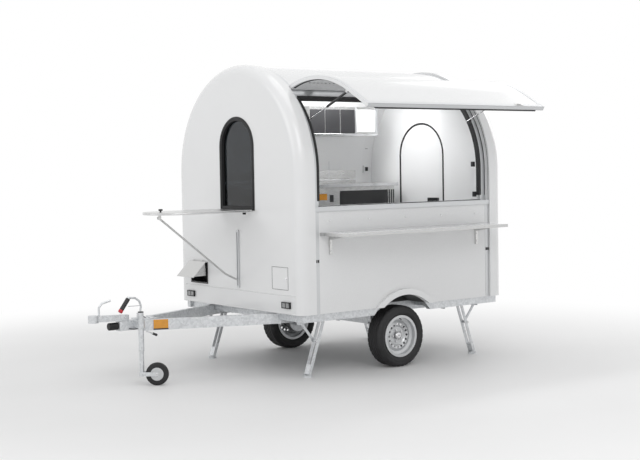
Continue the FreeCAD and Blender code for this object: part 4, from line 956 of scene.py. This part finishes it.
def tyre_profile(tread):
    """The closed outline of the tyre's section, with grooves in the tread."""
    outline = list(TYRE_FLANK)
    for y in GROOVES:
        floor = tread - GROOVE_DEPTH
        lip = tread - 0.0002
        outline += [(y - 0.0045, lip), (y - 0.003, floor), (y + 0.003, floor), (y + 0.0045, lip)]
    outline += [(-y, radius) for y, radius in reversed(TYRE_FLANK)]
    outline += TYRE_INSIDE + [(-y, radius) for y, radius in reversed(TYRE_INSIDE)]
    return outline


def notch_shoulders(tyre, centre):
    """Sinks every fifth step of the shoulders, so that the tread has blocks."""
    for vertex in tyre.data.vertices:
        spot = vertex.co - centre
        step = round(math.degrees(math.atan2(spot.z, spot.x)) / 2) % 180
        outside = abs(spot.y) > 0.058 and math.hypot(spot.x, spot.z) > 0.266
        if step % 5 == 0 and outside:
            vertex.co -= Vector((spot.x, 0, spot.z)).normalized() * 0.005


def wheel_nuts(side, sign, centre, body):
    rods = []
    for k in range(BOLTS):
        turn = 2 * math.pi * k / BOLTS
        spot = Vector((BOLT_CIRCLE * math.cos(turn), 0, BOLT_CIRCLE * math.sin(turn)))
        start = centre + spot + Vector((0, sign * 0.018, 0))
        end = centre + spot + Vector((0, sign * 0.034, 0))
        rods.append((start, end, 0.0105, 6))
        rods.append((start, end + (end - start) * 0.15, 0.006, 12))
    bars(f"wheel_nuts_{side}", "bright_steel", body, rods, 0.001)


def wheel_details():
    for side, sign in (("left", 1), ("right", -1)):
        low, high = corners(f"tyre_{side}")
        centre = (low + high) / 2
        body = f"wheel_{side}"
        tyre = ring_piece(f"tyre_{side}_tread", "tyre_rubber", body, centre, tyre_profile(high.z / 2),
                          segments=180, sign=sign)
        notch_shoulders(tyre, centre)
        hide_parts(f"tyre_{side}")
        wheel_nuts(side, sign, centre, body)
        ring_piece(f"hub_cap_{side}", "bright_steel", body, centre, HUB_CAP, segments=48, sign=sign)
        ring_piece(f"rim_bead_{side}", "bright_steel", body, centre, RIM_BEAD, segments=96, sign=sign)
        foot = centre - MIDDLE + Vector((0, sign * 0.060, 0.168))
        tip = foot + Vector((0, sign * 0.024, -0.012))
        rod_piece(f"valve_{side}", "rubber", body, (tuple(foot), tuple(tip), 0.0045))


# ---------------------------------------------------------------- drawbar, jockey wheel and steadies
BEAM_START = (1.15, 0.555)    # the near beam's outer face, as (x, y)
BEAM_END = (2.33, 0.087)
JOCKEY_TURN = math.radians(141)


def beam_side(x):
    """How far the near beam's outer face lies from the middle at a place along the drawbar."""
    slope = (BEAM_END[1] - BEAM_START[1]) / (BEAM_END[0] - BEAM_START[0])
    return BEAM_START[1] + (x - BEAM_START[0]) * slope


def reflectors(middle_z):
    """An amber reflector with a black foot on the outside of each beam."""
    first_x, last_x = 2.105, 2.225
    for side, sign in (("near", 1), ("far", -1)):
        start = Vector((first_x, sign * beam_side(first_x), 0))
        run = Vector((last_x, sign * beam_side(last_x), 0)) - start
        out = Vector((-run.y, run.x, 0)).normalized() * sign
        axes = Matrix((run.normalized(), out, Vector((0, 0, 1)))).transposed().to_4x4()
        axes.translation = at(start.x, start.y, middle_z)
        turned_box(f"reflector_{side}", "amber_lens", (0, -0.001, -0.034), (run.length, 0.008, 0.046),
                   axes, 0.002)
        turned_box(f"reflector_foot_{side}", "black_plastic", (-0.001, -0.001, -0.043),
                   (run.length + 0.001, 0.010, -0.032), axes, 0.001)


def beam_bolts(underside):
    bolts = [((x, y, underside + 0.001), (x, y, underside - 0.010), 0.010)
             for x in (-0.9, -0.25, 0.35, 0.95) for y in (0.53, -0.53)]
    rod_piece("beam_bolts", "galvanised", "trailer", *bolts, segments=6)
    deck = [((x, y, 0.577), (x, y, 0.587), 0.009) for x in (2.18, 2.23) for y in (-0.06, 0.06)]
    rod_piece("deck_bolts", "galvanised", "trailer", *deck, segments=6)


def bellows_pleats():
    low, high = corners("coupling_bellows")
    z = (low.z + high.z) / 2
    pleats = []
    for k in range(7):
        x = low.x - MID_X + 0.006 + 0.0125 * k
        pleats.append(((x, 0, z), (x + 0.006, 0, z), 0.0335))
    rod_piece("bellows_pleats", "rubber", "trailer", *pleats, edge=0.0025, segments=32)


def lever_grip():
    """The handbrake's ridged grip with its red tip."""
    start = Vector((2.400, 0, 0.757))
    end = Vector((2.470, 0, 0.663))
    run = end - start

    def along(share):
        return tuple(start + run * share)

    ridges = [(along(0.08 + 0.13 * k), along(0.12 + 0.13 * k), 0.0208) for k in range(7)]
    rod_piece("lever_grip_sleeve", "black_plastic", "trailer", (along(0), along(1), 0.0195), *ridges,
              edge=0.002)
    rod_piece("lever_grip_tip", "red_plastic", "trailer", (along(0.98), along(1.22), 0.0205), edge=0.006)
    rod_piece("lever_pull_rod", "bright_steel", "trailer", ((2.402, 0, 0.690), (2.278, 0, 0.688), 0.0035))


def coupling_details():
    tube_along("breakaway_cable", "rubber", "trailer",
               [(2.262, 0.02, 0.592), (2.248, 0.045, 0.575), (2.252, 0.075, 0.545), (2.29, 0.083, 0.512),
                (2.33, 0.075, 0.498), (2.38, 0.058, 0.492), (2.42, 0.042, 0.500)], 0.0035, sides=8)
    rod_piece("clamp_lever", "galvanised", "trailer", ((2.30, 0.135, 0.475), (2.215, 0.150, 0.437), 0.006))
    rod_piece("clamp_lever_grip", "black_plastic", "trailer",
              ((2.245, 0.1447, 0.4505), (2.205, 0.1518, 0.4325), 0.011), edge=0.003)
    cover = [((x, -0.034, 0.600), (x, 0.034, 0.600), 0.008) for x in (2.45, 2.53)]
    head = ((2.69, -0.030, 0.622), (2.69, 0.030, 0.622), 0.010)
    rod_piece("coupling_bolts", "bright_steel", "trailer", *cover, head, segments=6)


def drawbar_details():
    low, high = corners("drawbar_beams")
    reflectors((low.z + high.z) / 2)
    beam_bolts(low.z)
    bellows_pleats()
    lever_grip()
    coupling_details()


def jockey_details():
    low, high = corners("jockey_wheel")
    centre = (low + high) / 2
    axle = Vector((-math.sin(JOCKEY_TURN), math.cos(JOCKEY_TURN), 0))

    def across(half, radius, sides):
        return centre - axle * half, centre + axle * half, radius, sides

    bars("jockey_rim", "silver_steel", "jockey_roller", [across(0.0265, 0.058, 40), across(0.029, 0.022, 24)],
         0.004, 3)
    bars("jockey_axle_nuts", "bright_steel", "jockey_fork", [across(0.042, 0.011, 6)], 0.0015)
    rod_piece("jockey_tube_cap", "black_plastic", "trailer",
              ((2.345, 0.118, 0.640), (2.345, 0.118, 0.650), 0.0255), edge=0.003)


def steady_details():
    """A bolt head and a nut where each corner steady's leg meets its brace."""
    knee_z = 0.322
    for end, sign in ENDS:
        for side, y in (("left", 0.78), ("right", -0.78)):
            name = f"{end}_{side}"
            x = sign * 0.945
            rod_piece(f"steady_bolt_{name}", "bright_steel", f"leg_{name}",
                      ((x, y - 0.036, knee_z), (x, y - 0.031, knee_z), 0.012),
                      ((x, y + 0.031, knee_z), (x, y + 0.038, knee_z), 0.012), segments=6)


body_trim()
opening_seals()
hatch_trim()
front_fittings()
inlet_trim()
kitchen_front()
hood_details()
rear_details()
shelf_details()
wheel_details()
drawbar_details()
jockey_details()
steady_details()
